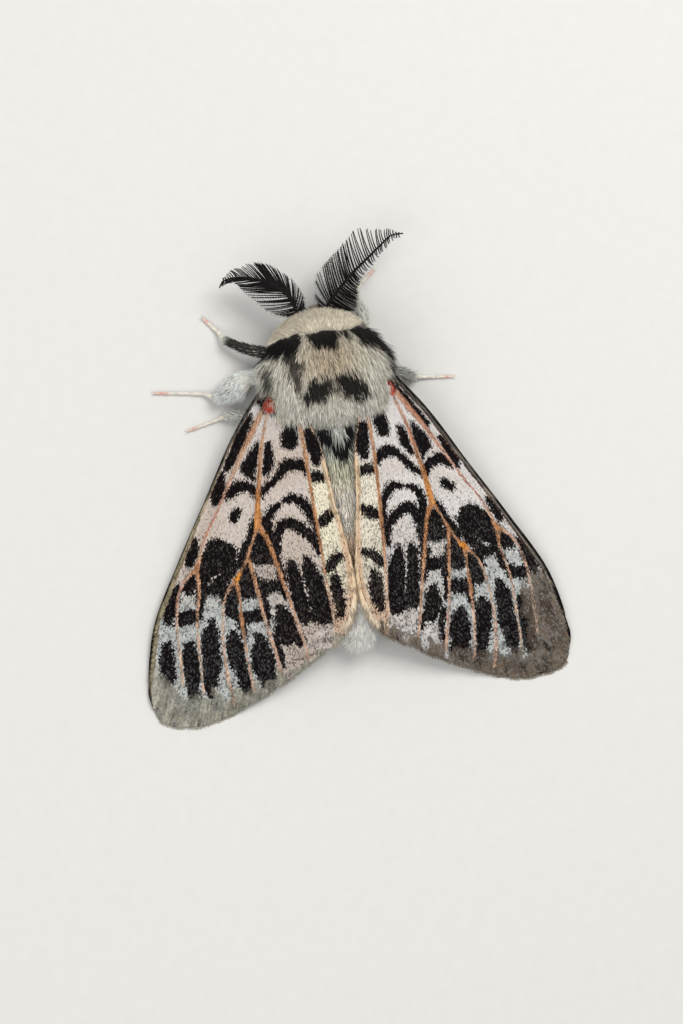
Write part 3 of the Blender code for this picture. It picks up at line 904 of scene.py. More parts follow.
@dataclass
class Hide:
    """A skin's surface, on which tufts are rooted."""

    points: Points
    triangles: Points
    normals: Points

    @classmethod
    def of(cls, made: bpy.types.Object) -> "Hide":
        """Read a triangulated skin whose mesh is in millimetres.

        Args:
            made: The skin.

        Returns:
            Its surface.
        """
        mesh = made.data
        points = np.empty(len(mesh.vertices) * 3)
        normals = np.empty(len(mesh.vertices) * 3)
        mesh.vertices.foreach_get("co", points)
        mesh.vertices.foreach_get("normal", normals)
        mesh.calc_loop_triangles()
        triangles = np.empty(len(mesh.loop_triangles) * 3, np.int32)
        mesh.loop_triangles.foreach_get("vertices", triangles)
        return cls(points.reshape(-1, 3), triangles.reshape(-1, 3), normals.reshape(-1, 3))

    def scatter(self, count: int, rng: np.random.Generator,
                weight: Callable[[Points], Points]) -> tuple[Points, Points]:
        """Scatter roots evenly over the weighted surface.

        Args:
            count: The roots wanted.
            rng: The seeded generator.
            weight: How densely roots stand at a place.

        Returns:
            The roots and the skin's normals there.
        """
        corners = self.points[self.triangles]
        area = np.linalg.norm(np.cross(corners[:, 1] - corners[:, 0], corners[:, 2] - corners[:, 0]), axis=1)
        share = area * weight(corners.mean(axis=1))
        ends = np.cumsum(share)
        spots = (np.arange(count) + rng.random(count)) / count * ends[-1]
        faces = np.searchsorted(ends, spots)
        one, two = rng.random(count), rng.random(count)
        over = one + two > 1
        one[over], two[over] = 1 - one[over], 1 - two[over]
        blend = np.stack([1 - one - two, one, two], axis=1)[:, :, None]
        roots = (corners[faces] * blend).sum(axis=1)
        normals = unit((self.normals[self.triangles[faces]] * blend).sum(axis=1))
        order = rng.permutation(count)
        return roots[order], normals[order]


# Wings

@dataclass(frozen=True)
class Vein:
    """A vein as rows of across, along, half width and tone (2 gold, 1 orange, 0 pale, -1 pink)."""

    rows: tuple[tuple[float, float, float, float], ...]

    def line(self) -> Points:
        """The smoothed rows, none thinner than a hair line."""
        line = smooth_line(self.rows, 6)
        line[:, 2] = np.maximum(line[:, 2] * 0.92, 0.12)
        return line


@dataclass(frozen=True)
class Mark:
    """A stroke of dark or pale scales between two veins.

    Each row is the share of the way across the cell, the place along, and the half width.
    """

    cell: Cell
    dark: bool
    rows: tuple[tuple[float, float, float], ...]


def dark(cell: Cell, *rows: tuple[float, float, float]) -> Mark:
    """A dark mark."""
    return Mark(cell, True, rows)


def pale(cell: Cell, *rows: tuple[float, float, float]) -> Mark:
    """A pale mark."""
    return Mark(cell, False, rows)


@dataclass(frozen=True)
class WingPlan:
    """The folded wing's outline, roof and veins, as the CAD has them."""

    power: float = 1.5
    costa: tuple = ((4.2, 4.8), (5.8, 6.2), (8.6, 9.8), (11.4, 14.5), (14.4, 19.5), (17.2, 24.6),
                    (18.4, 29.4))
    termen: tuple = ((18.4, 31.4), (17.8, 32.9), (16.2, 33.7), (13.5, 33.75), (10.2, 32.7), (6.8, 31.1),
                     (3.6, 29.2))
    inner: tuple = ((1.7, 28.0), (0.9, 26.0), (0.35, 24.0), (0.35, 21.5), (0.75, 18.5), (1.0, 15.5),
                    (1.4, 12.0), (2.2, 9.2), (3.0, 6.4))
    anal: Vein = Vein(((2.9, 8.6, .2, .6), (3.0, 12.5, .2, .8), (2.95, 15.5, .19, .9), (2.8, 19.0, .19, .9),
                       (2.7, 22.4, .15, .6), (2.5, 24.9, .12, .1), (2.4, 26.8, .07, 0.)))
    median: Vein = Vein(((5.2, 7.4, .14, -.3), (5.75, 9.2, .16, .1), (6.3, 10.9, .2, .5),
                         (6.9, 13.8, .22, .9),
                         (7.25, 15.6, .27, 1.3), (7.4, 16.7, .33, 1.5), (7.55, 17.7, .34, 1.3)))
    cubital_two: Vein = Vein(((7.5, 17.5, .3, 1.), (6.95, 18.6, .22, 1.), (6.6, 20.0, .2, 1.),
                              (6.25, 21.6, .19, .9),
                              (5.6, 24.8, .15, .5), (5.15, 27.0, .15, -.1), (4.75, 29.2, .13, -.1)))
    median_back: Vein = Vein(((7.55, 17.7, .24, 1.), (8.1, 18.7, .12, .7), (8.7, 20.0, .2, .9)))
    cubital_one: Vein = Vein(((8.7, 20.0, .2, .9), (8.4, 21.9, .18, .8), (8.1, 24.5, .17, .5),
                              (7.85, 26.2, .14, -.2), (7.6, 27.6, .15, -.3), (7.1, 30.4, .14, -.2)))
    fork_four: Vein = Vein(((8.7, 20.0, .16, .9), (9.3, 21.0, .12, .9), (9.75, 21.6, .29, 2.),
                            (9.95, 21.85, .28, 1.7)))
    median_three: Vein = Vein(((9.9, 21.9, .22, 1.), (9.85, 23.4, .15, .8), (9.9, 25.3, .2, .9),
                               (9.9, 27.0, .14, .4), (9.8, 29.2, .14, 0.), (9.6, 31.6, .12, -.2)))
    median_two: Vein = Vein(((9.9, 21.7, .2, 1.), (10.75, 22.7, .1, .5), (11.3, 24.0, .12, .1),
                             (11.65, 26.5, .12, 0.), (11.7, 29.4, .17, -.1), (11.4, 32.4, .18, -.1)))
    radial: Vein = Vein(((4.6, 6.4, .18, -.7), (5.5, 7.5, .25, -.2), (6.3, 8.7, .28, .5),
                         (7.2, 10.1, .28, .6),
                         (8.0, 11.3, .25, .3), (9.3, 13.5, .2, -.2), (10.0, 14.7, .12, -.6),
                         (10.7, 15.9, .13, -.8),
                         (12.0, 17.9, .14, -.6), (12.7, 19.6, .2, .5), (13.05, 20.4, .3, 1.)))
    radial_outer: Vein = Vein(((13.05, 20.4, .26, 1.), (13.7, 20.9, .2, .6), (14.2, 21.3, .16, -.3),
                               (14.9, 22.6, .12, -.5), (15.3, 24.6, .08, 0.), (15.4, 26.6, .07, 0.),
                               (15.5, 30.0, .04, 0.)))
    radial_inner: Vein = Vein(((13.05, 20.4, .24, 1.), (13.1, 22.4, .13, .7), (13.6, 24.6, .12, .4),
                               (13.75, 27.0, .09, 0.), (13.9, 31.0, .05, 0.)))

    def costa_at(self, along: Points) -> Points:
        """How far out the costa is."""
        line = np.array(self.costa + self.termen[:1])
        return np.interp(along, line[:, 1], line[:, 0])

    def roof(self, out: Points, along: Points) -> Points:
        """The height of the plate's top.

        Args:
            out: Outward from the middle line.
            along: Along the body.

        Returns:
            The height.
        """
        ridge = 6.15 - 0.0055 * (along - 10) ** 2 - 0.06 * np.maximum(0, along - 27) ** 2
        eaves = 0.5 + 3.9 * np.exp(-np.maximum(0, along - 6) / 11.5) - 0.01 * along
        share = clamp(out / self.costa_at(along))
        return eaves + (np.maximum(ridge, eaves) - eaves) * (1 - share ** self.power)

    def outline(self) -> Points:
        """The smooth outline."""
        return smooth_line(self.costa + self.termen + self.inner, 10, closed=True)

    def veins(self) -> tuple[Vein, ...]:
        """All the veins."""
        return (self.anal, self.median, self.cubital_two, self.median_back, self.cubital_one, self.fork_four,
                self.median_three, self.median_two, self.radial, self.radial_outer, self.radial_inner)

    def cell_lines(self) -> list[Points]:
        """The lines that part the cells, from the inner margin to the costa."""
        inner = np.array(self.inner)[::-1]
        chains = ((self.anal,), (self.median, self.cubital_two),
                  (self.median, self.median_back, self.cubital_one),
                  (self.median, self.median_back, self.fork_four, self.median_three),
                  (self.median, self.median_back, self.fork_four, self.median_two),
                  (self.radial, self.radial_inner), (self.radial, self.radial_outer))
        lines = [smooth_line(inner, 4)]
        for chain in chains:
            rows = np.concatenate([np.array(vein.rows)[:, :2] for vein in chain])
            lines.append(rows[np.argsort(rows[:, 1], kind="stable")])
        lines.append(np.array(self.costa + self.termen[:1], float))
        return lines


C = Cell
MARKS: tuple[Mark, ...] = (
    dark(C.MARGIN, (.5, 10.3, .36), (.45, 11.2, .54), (.42, 12.2, .54), (.46, 12.8, .34)),
    dark(C.MARGIN, (.22, 14.25, .36), (.5, 14.1, .42), (.8, 14.15, .42)),
    dark(C.MARGIN, (.25, 17.35, .36), (.5, 17.7, .48), (.78, 18.0, .38)),
    dark(C.MARGIN, (.3, 21.0, .3), (.55, 21.25, .38), (.75, 21.7, .36), (.92, 22.1, .26)),
    dark(C.MARGIN, (.62, 22.9, .34), (.6, 24.0, .56), (.58, 25.0, .5), (.6, 25.8, .26)),
    dark(C.CUBITAL, (.28, 9.8, .55), (.32, 10.4, .62), (.33, 11.0, .5)),
    dark(C.CUBITAL, (.8, 10.95, .26), (.81, 12.0, .46), (.89, 13.1, .2)),
    dark(C.CUBITAL, (.03, 13.6, .26), (.12, 13.0, .38), (.33, 12.75, .42), (.48, 12.95, .34),
         (.64, 13.6, .24), (.8, 14.3, .25), (.98, 15.1, .24)),
    dark(C.CUBITAL, (.05, 20.6, .14), (.05, 18.8, .2), (.05, 17.6, .24), (.1, 16.7, .3), (.2, 16.0, .32),
         (.34, 15.7, .32), (.47, 15.8, .22)),
    dark(C.CUBITAL, (.61, 16.0, .22), (.74, 16.4, .28), (.85, 17.2, .36), (.9, 18.4, .36), (.92, 19.6, .3),
         (.94, 21.0, .2), (.95, 22.8, .1)),
    dark(C.CUBITAL, (.07, 20.6, .14), (.09, 19.8, .26), (.16, 18.9, .34), (.3, 18.05, .4), (.42, 17.8, .42),
         (.6, 17.85, .38), (.75, 18.4, .34), (.85, 19.4, .28), (.91, 20.6, .16)),
    dark(C.CUBITAL, (.34, 20.95, .2), (.33, 21.6, .48), (.29, 22.8, .68), (.27, 24.3, .76), (.24, 25.8, .76)),
    dark(C.CUBITAL, (.68, 20.95, .18), (.69, 21.6, .44), (.715, 22.8, .5), (.74, 24.3, .56),
         (.76, 25.7, .54)),
    dark(C.CUBITAL, (.5, 25.3, .2), (.5, 25.9, .4)),
    pale(C.CUBITAL, (.53, 20.4, .07), (.515, 22.4, .08), (.52, 24.9, .03)),
    dark(C.FIRST, (.5, 18.6, .6), (.4, 19.6, .9), (.15, 20.3, .55), (.5, 20.1, .8), (.9, 20.3, .5)),
    dark(C.FIRST, (.06, 21.6, .2), (.04, 22.6, .4), (.3, 22.75, .44), (.7, 22.8, .5), (.96, 22.4, .5)),
    dark(C.FIRST, (.98, 21.4, .2), (.97, 22.2, .3)),
    pale(C.FIRST, (.42, 21.55, .42), (.5, 21.9, .42)),
    dark(C.FIRST, (.05, 23.2, .34), (.04, 23.9, .2)),
    pale(C.FIRST, (.06, 25.6, .12), (.12, 24.8, .2), (.28, 24.1, .32), (.46, 23.75, .42), (.6, 24.2, .32),
         (.7, 24.9, .16), (.8, 25.7, .13), (.88, 26.8, .13)),
    dark(C.FIRST, (.84, 23.3, .34), (.88, 24.2, .3), (.9, 25.0, .22), (.95, 25.9, .14)),
    dark(C.FIRST, (.42, 24.75, .28), (.42, 25.4, .62), (.42, 26.3, .82), (.4, 27.0, .74)),
    dark(C.FIRST, (.1, 27.3, .4), (.07, 28.0, .22)),
    dark(C.FIRST, (.8, 27.0, .26), (.85, 28.3, .24), (.86, 29.4, .14)),
    dark(C.SECOND, (.5, 20.8, .4), (.5, 21.6, .7), (.5, 22.8, .78)),
    pale(C.SECOND, (.4, 23.8, .34), (.58, 23.9, .34)),
    dark(C.SECOND, (.08, 24.9, .5), (.5, 25.1, .52), (.92, 25.0, .5), (.98, 26.2, .24)),
    pale(C.SECOND, (.05, 27.3, .24), (.25, 26.5, .32), (.5, 26.1, .36), (.78, 26.6, .3), (.93, 27.5, .22)),
    dark(C.SECOND, (.48, 26.9, .34), (.48, 27.8, .78), (.48, 29.1, .9), (.5, 30.3, .7), (.5, 31.2, .4)),
    dark(C.THIRD, (.5, 22.4, .4), (.5, 23.4, .6), (.5, 24.4, .66)),
    dark(C.THIRD, (.08, 24.8, .4), (.06, 25.8, .26), (.06, 26.7, .16)),
    pale(C.THIRD, (.18, 27.0, .16), (.3, 26.2, .28), (.55, 25.6, .34), (.9, 25.7, .3)),
    dark(C.THIRD, (.52, 26.5, .3), (.52, 27.4, .72), (.46, 28.6, .8), (.38, 29.9, .7), (.3, 31.2, .45)),
    pale(C.THIRD, (.82, 29.6, .3), (.8, 30.8, .4)),
    dark(C.DISC, (.3, 10.6, .1), (.35, 11.5, .36), (.42, 12.4, .58), (.38, 13.0, .54), (.15, 13.7, .16)),
    pale(C.DISC, (.05, 14.3, .22), (.3, 13.65, .24), (.6, 13.25, .3), (.95, 13.2, .32)),
    dark(C.DISC, (.03, 15.2, .28), (.15, 14.55, .34), (.4, 14.1, .36), (.7, 13.95, .36), (1.0, 14.35, .4)),
    dark(C.DISC, (.47, 16.05, .32), (.52, 16.5, .36)),
    dark(C.DISC, (.02, 17.0, .14), (.07, 18.2, .36), (.06, 19.0, .46), (.05, 19.8, .5), (.05, 20.6, .5)),
    dark(C.DISC, (.34, 20.3, .5), (.48, 19.6, .95), (.6, 19.3, 1.0), (.78, 19.9, .9), (.5, 20.8, 1.3),
         (.8, 20.8, 1.2), (.55, 21.8, 1.0), (.85, 21.9, .8)),
    dark(C.DISC, (.1, 22.6, .5), (.08, 23.4, .3)),
    dark(C.DISC, (.9, 22.8, .34), (.94, 23.8, .24), (.97, 24.6, .1)),
    pale(C.DISC, (.45, 20.9, .05), (.6, 21.5, .2), (.72, 22.0, .1)),
    pale(C.DISC, (.06, 25.0, .3), (.2, 24.0, .34), (.38, 23.3, .44), (.5, 23.6, .44), (.6, 24.4, .4),
         (.86, 25.4, .22)),
    dark(C.DISC, (.46, 25.2, .26), (.48, 26.3, .68), (.52, 27.7, .86), (.58, 29.1, .84), (.68, 30.3, .64),
         (.76, 31.2, .3)),
    pale(C.DISC, (.1, 27.0, .2), (.1, 29.0, .3), (.2, 30.3, .45)),
    dark(C.FORK, (.5, 21.1, .3), (.5, 21.9, .62)),
    dark(C.FORK, (.1, 24.4, .5), (.5, 24.5, .52), (.9, 24.4, .5)),
    dark(C.FORK, (.46, 27.0, .4), (.47, 28.1, .66), (.48, 29.5, .66), (.5, 31.0, .5)),
    dark(C.COSTAL, (.55, 6.4, .36), (.5, 7.1, .34)),
    dark(C.COSTAL, (.5, 18.0, .24), (.5, 18.9, .42), (.45, 19.8, .26)),
    dark(C.COSTAL, (.4, 21.9, .3), (.4, 22.7, .56), (.4, 23.7, .56), (.42, 24.4, .3)),
    dark(C.COSTAL, (.4, 26.8, .36), (.42, 27.8, .6), (.45, 29.0, .5), (.48, 29.8, .24)),
)
SIDE_MARKS: dict[Side, tuple[Mark, ...]] = {
    Side.LEFT: (
        dark(C.COSTAL, (.62, 8.3, .2), (.6, 9.4, .42), (.52, 10.6, .52), (.46, 11.8, .44), (.4, 12.4, .24)),
        dark(C.COSTAL, (.16, 8.8, .14), (.14, 9.8, .24), (.14, 10.8, .3)),
        dark(C.COSTAL, (.6, 12.9, .24), (.5, 13.7, .5), (.36, 14.5, .5), (.26, 15.2, .24))),
    Side.RIGHT: (
        dark(C.COSTAL, (.2, 7.3, .22), (.2, 8.4, .4), (.2, 9.8, .46), (.2, 10.9, .3)),
        dark(C.COSTAL, (.5, 12.3, .3), (.5, 13.1, .56), (.45, 13.9, .52), (.2, 14.7, .3))),
}


@dataclass
class WingPattern:
    """Lays the marks, veins, ground tones and wear on a wing."""

    plan: WingPlan
    marks: tuple[Mark, ...] = MARKS
    worn_depth: dict[Side, tuple[float, ...]] = field(default_factory=lambda: {Side.LEFT: (0.5, 1.8, 3.0,
                                                                                           4.0),
                                                                               Side.RIGHT: (1.1, 2.2, 3.2,
                                                                                            3.8)})
    base: tuple[float, float] = (4.0, 3.0)

    def across(self, cell: Cell, share: float, along: float) -> float:
        """A place across a cell.

        Args:
            cell: The cell.
            share: The share of the way from its inner vein to its outer one.
            along: The place along.

        Returns:
            How far out it is.
        """
        inner, outer = self.lines[cell.value], self.lines[cell.value + 1]
        low = np.interp(along, inner[:, 1], inner[:, 0])
        high = np.interp(along, outer[:, 1], outer[:, 0])
        return low + share * (high - low)

    def __post_init__(self) -> None:
        """Work out the lines between cells."""
        self.lines = self.plan.cell_lines()

    def ink(self, out: Points, along: Points, side: Side) -> Points:
        """How deep each place lies in the dark marks.

        Args:
            out: Outward, of each place.
            along: Along, of each place.
            side: The wing's side.

        Returns:
            The depth, below 0 on pale scales.
        """
        depth = np.full(out.shape, -2.0)
        for mark in self.marks + SIDE_MARKS[side]:
            spine = np.array([(self.across(mark.cell, share, at), at, half) for share, at, half in mark.rows])
            if len(spine) == 1:
                spine = np.repeat(spine, 2, axis=0) + [(0, 0, 0), (0.01, 0, 0)]
            inner, outer = self.lines[mark.cell.value], self.lines[mark.cell.value + 1]
            inside = np.minimum(out - np.interp(along, inner[:, 1], inner[:, 0]),
                                np.interp(along, outer[:, 1], outer[:, 0]) - out)
            own = np.minimum(line_depth(out, along, spine), inside + 0.12)
            depth = np.maximum(depth, own) if mark.dark else np.minimum(depth, -own)
        return depth

    def veins(self, out: Points, along: Points) -> tuple[Points, Points]:
        """How deep each place lies in a vein, and the vein's tone there.

        Args:
            out: Outward, of each place.
            along: Along, of each place.

        Returns:
            The depths and the tones.
        """
        depth = np.full(out.shape, -5.0)
        tone = np.zeros(out.shape)
        for vein in self.plan.veins():
            line = vein.line()
            for start, end in zip(line[:-1], line[1:]):
                own = line_depth(out, along, np.array((start[:3], end[:3])))
                near = own > depth
                depth[near] = own[near]
                tone[near] = (start[3] + end[3]) / 2
        return depth, tone

    def margin(self, out: Points, along: Points) -> Points:
        """How far inside the outer margin each place is."""
        line = np.array(self.plan.termen + self.plan.inner[:1])
        line = smooth_line(line, 6)
        return -line_depth(out, along, np.column_stack([line, np.zeros(len(line))]))

    def fields(self, out: Points, along: Points, side: Side) -> MeshData:
        """Work out all that the wing's finish reads.

        Args:
            out: Outward, of each place.
            along: Along, of each place.
            side: The wing's side.

        Returns:
            Mesh data with the attributes alone.
        """
        seed = 11 if side is Side.LEFT else 12
        bend_out = out + 0.1 * wave_noise(out, along, 3.0, seed)
        bend_along = along + 0.14 * wave_noise(out, along, 3.4, seed + 10)
        left = side is Side.LEFT
        shift = 0.22 * left * np.exp(-((out - 2.9) / 1.1) ** 2) * ramp(along, 9, 13)
        ink = self.ink(bend_out + shift, bend_along, side)
        vein, tone = self.veins(out + shift, along)
        margin = self.margin(out, along) + 0.5 * wave_noise(out, along, 1.3, seed + 20)
        depth = np.interp(out, (5.0, 9.0, 12.0, 15.0), self.worn_depth[side])
        wear = 1 - ramp(margin, 0.15 * depth, depth)
        if not left:
            apex = ramp(out + 0.5 * wave_noise(out, along, 1.8, seed + 40), 13.7, 15.9) * ramp(along, 22.8,
                                                                                               26.8)
            wear = np.maximum(wear, 0.85 * apex)
        aft = ramp(along, 22.5, 26.5)
        inner = out - np.interp(along, self.lines[0][:, 1], self.lines[0][:, 0])
        behind = np.interp(along, self.lines[1][:, 1], self.lines[1][:, 0]) - out
        wide = ramp(along, 18, 22)
        band = (1 - ramp(inner, 0.1 + 0.1 * wide, 0.32 + 0.24 * wide)) * ramp(along, 8,
                                                                              10) * (1 - 0.8 * ramp(along,
                                                                                                    24.2,
                                                                                                    26.2))
        creamy = ramp(behind, -0.1, 0.15) * ramp(along, 12.8, 14.4)
        worn = WORN_LEFT if left else WORN_RIGHT
        rosy = 0.12 + 0.6 * left * ramp(along, 8.5, 12) + ramp(wave_noise(out, along, 5.0, seed + 30), -0.4,
                                                               0.6) * 0.3
        cool = ramp(along, 20, 25) * ramp(out, 6.0, 9.0)
        ground = self.blend(WHITE_SCALE, ROSY_SCALE, rosy)
        ground = self.blend(ground, COOL_SCALE, cool)
        ground = self.blend(ground, CREAM_SCALE, creamy * (1 - aft) * (1.0 if left else 0.7))
        ground = self.blend(ground, PINK_TAN, creamy * aft)
        ground = self.blend(ground, TAN_SCALE, band)
        dust = 0.5 + 0.5 * wave_noise(out, along, 1.1, seed + 60)
        ground = ground * (1 - (0.08 + 0.22 * dust) * ramp(along, 17.5, 23))[:, None]
        vein_tint = self.blend(PALE_VEIN, ORANGE_VEIN, clamp(tone))
        vein_tint = self.blend(vein_tint, GOLD_VEIN, clamp(tone - 1))
        vein_tint = self.blend(vein_tint, PINK_VEIN, clamp(-tone))
        if not left:
            root = (1 - ramp(along, 12, 15)) * ramp(out, 4.4, 5.2)
            vein_tint = self.blend(vein_tint, np.array(PINK_VEIN) * 0.8, 0.5 * root)
        vein_tint = self.blend(vein_tint, worn, 0.45 * wear)
        spot = ((5.1, 7.5, .42), (5.15, 7.8, .4)) if left else ((5.15, 7.1, .3), (5.35, 7.9, .26))
        red = line_depth(out, along, np.array(spot))
        vein_tint = self.blend(vein_tint, RED_SPOT, (red > 0) * 1.0)
        vein = np.maximum(vein, red)
        edge = self.plan.costa_at(along) - out
        rim_width = 0.32 + 0.16 * ramp(along, 15, 19) if left else 0.62
        fade_start = 28 if left else 24
        rim = np.where(along > 5.4, rim_width * (1 - 0.7 * ramp(along, fade_start, 31)) - edge, -5.0)
        black, brown = srgb(16, 13, 13), self.blend(srgb(84, 82, 78),
                                                    srgb(128, 120, 98) if left else srgb(112, 108, 100),
                                                    ramp(along, 9, 14))
        line = 0.0 if left else ramp(edge, 0.38, 0.44)
        rim_tint = self.blend(brown, black, np.maximum(ramp(-edge,
                                                            *((-0.13, -0.07) if left else (-0.27, -0.21))),
                                                       line))
        vein_tint = self.blend(vein_tint, rim_tint, ramp(rim, -0.05, 0.05))
        vein = np.maximum(vein, rim)
        cream_speck = 0.06 if left else 0.14
        speck = 0.035 + (0.07 + 0.12 * dust) * ramp(along, 16, 22) + 0.08 * ramp(along, 24, 27)
        speck = speck + cream_speck * creamy * (1 - band)
        grey = ramp(-line_depth(out, along, np.array(((9.6, 23.0, 1.6), (7.2, 20.5, 1.0)))), 0.8, -0.4)
        speck = speck + 0.16 * grey
        reach = np.hypot(out - self.base[0], along - self.base[1])
        turn = np.arctan2(out - self.base[0], along - self.base[1])
        flow = np.stack([turn * 22 + (40 if side is Side.LEFT else 0), reach, np.zeros_like(reach)], axis=1)
        return MeshData(np.zeros((0, 3)), np.zeros((0, 3), int),
                        {"ink": ink, "vein": vein, "wear": wear, "speck": speck},
                        {"ground": ground, "vein_tint": vein_tint, "bare": np.tile(worn, (len(out), 1))},
                        {"flow": flow})

    @staticmethod
    def blend(one: object, two: object, share: Points) -> Points:
        """Mix two colours, point by point."""
        share = np.asarray(share)[..., None]
        return np.asarray(one) * (1 - share) + np.asarray(two) * share


def sheet_of(outline: Points, spacing: float, clearance: float) -> tuple[Points, Points, int]:
    """Fill an outline with evenly spaced points and triangles.

    Args:
        outline: The closed outline.
        spacing: The distance between points.
        clearance: The least distance of a point from the outline, in spacings.

    Returns:
        The points, the triangles, and how many of the first points are the outline.
    """
    low, high = outline.min(axis=0), outline.max(axis=0)
    rows = np.arange(low[1], high[1], spacing * math.sqrt(3) / 2)
    grid = [np.stack([np.arange(low[0] + (k % 2) * spacing / 2, high[0], spacing),
                      np.full(len(np.arange(low[0] + (k % 2) * spacing / 2, high[0], spacing)), row)], axis=1)
            for k, row in enumerate(rows)]
    grid = np.concatenate(grid)
    inside = np.zeros(len(grid), bool)
    near = np.full(len(grid), 1e3)
    for start, end in zip(outline, np.roll(outline, -1, axis=0)):
        crosses = (start[1] > grid[:, 1]) != (end[1] > grid[:, 1])
        rise = end[1] - start[1] if end[1] != start[1] else 1e-9
        at = start[0] + (grid[:, 1] - start[1]) / rise * (end[0] - start[0])
        inside ^= crosses & (grid[:, 0] < at)
        near = np.minimum(near, -line_depth(grid[:, 0], grid[:, 1], np.array(((*start, 0.0), (*end, 0.0)))))
    grid = grid[inside & (near > clearance * spacing)]
    count = len(outline)
    edges = [(k, (k + 1) % count) for k in range(count)]
    places = [Vector(p) for p in np.concatenate([outline, grid])]
    points, _, faces, sources, _, _ = delaunay_2d_cdt(places, edges, [], 1, 1e-6)
    order = [source[0] if source else len(places) for source in sources]
    flat = np.array([tuple(p) for p in points])
    triangles = np.array([face for face in faces if len(face) == 3])
    rank = np.argsort(np.array(order), kind="stable")
    back = np.empty(len(rank), int)
    back[rank] = np.arange(len(rank))
    triangles = back[triangles]
    flat = flat[rank]
    one, two, three = (flat[triangles[:, k]] for k in range(3))
    area = (two[:, 0] - one[:, 0]) * (three[:, 1] - one[:, 1]) - (two[:, 1] - one[:, 1]) * (three[:,
                                                                                                  0] - one[:,
                                                                                                           0])
    triangles[area < 0] = triangles[area < 0][:, ::-1]
    return flat, triangles, count


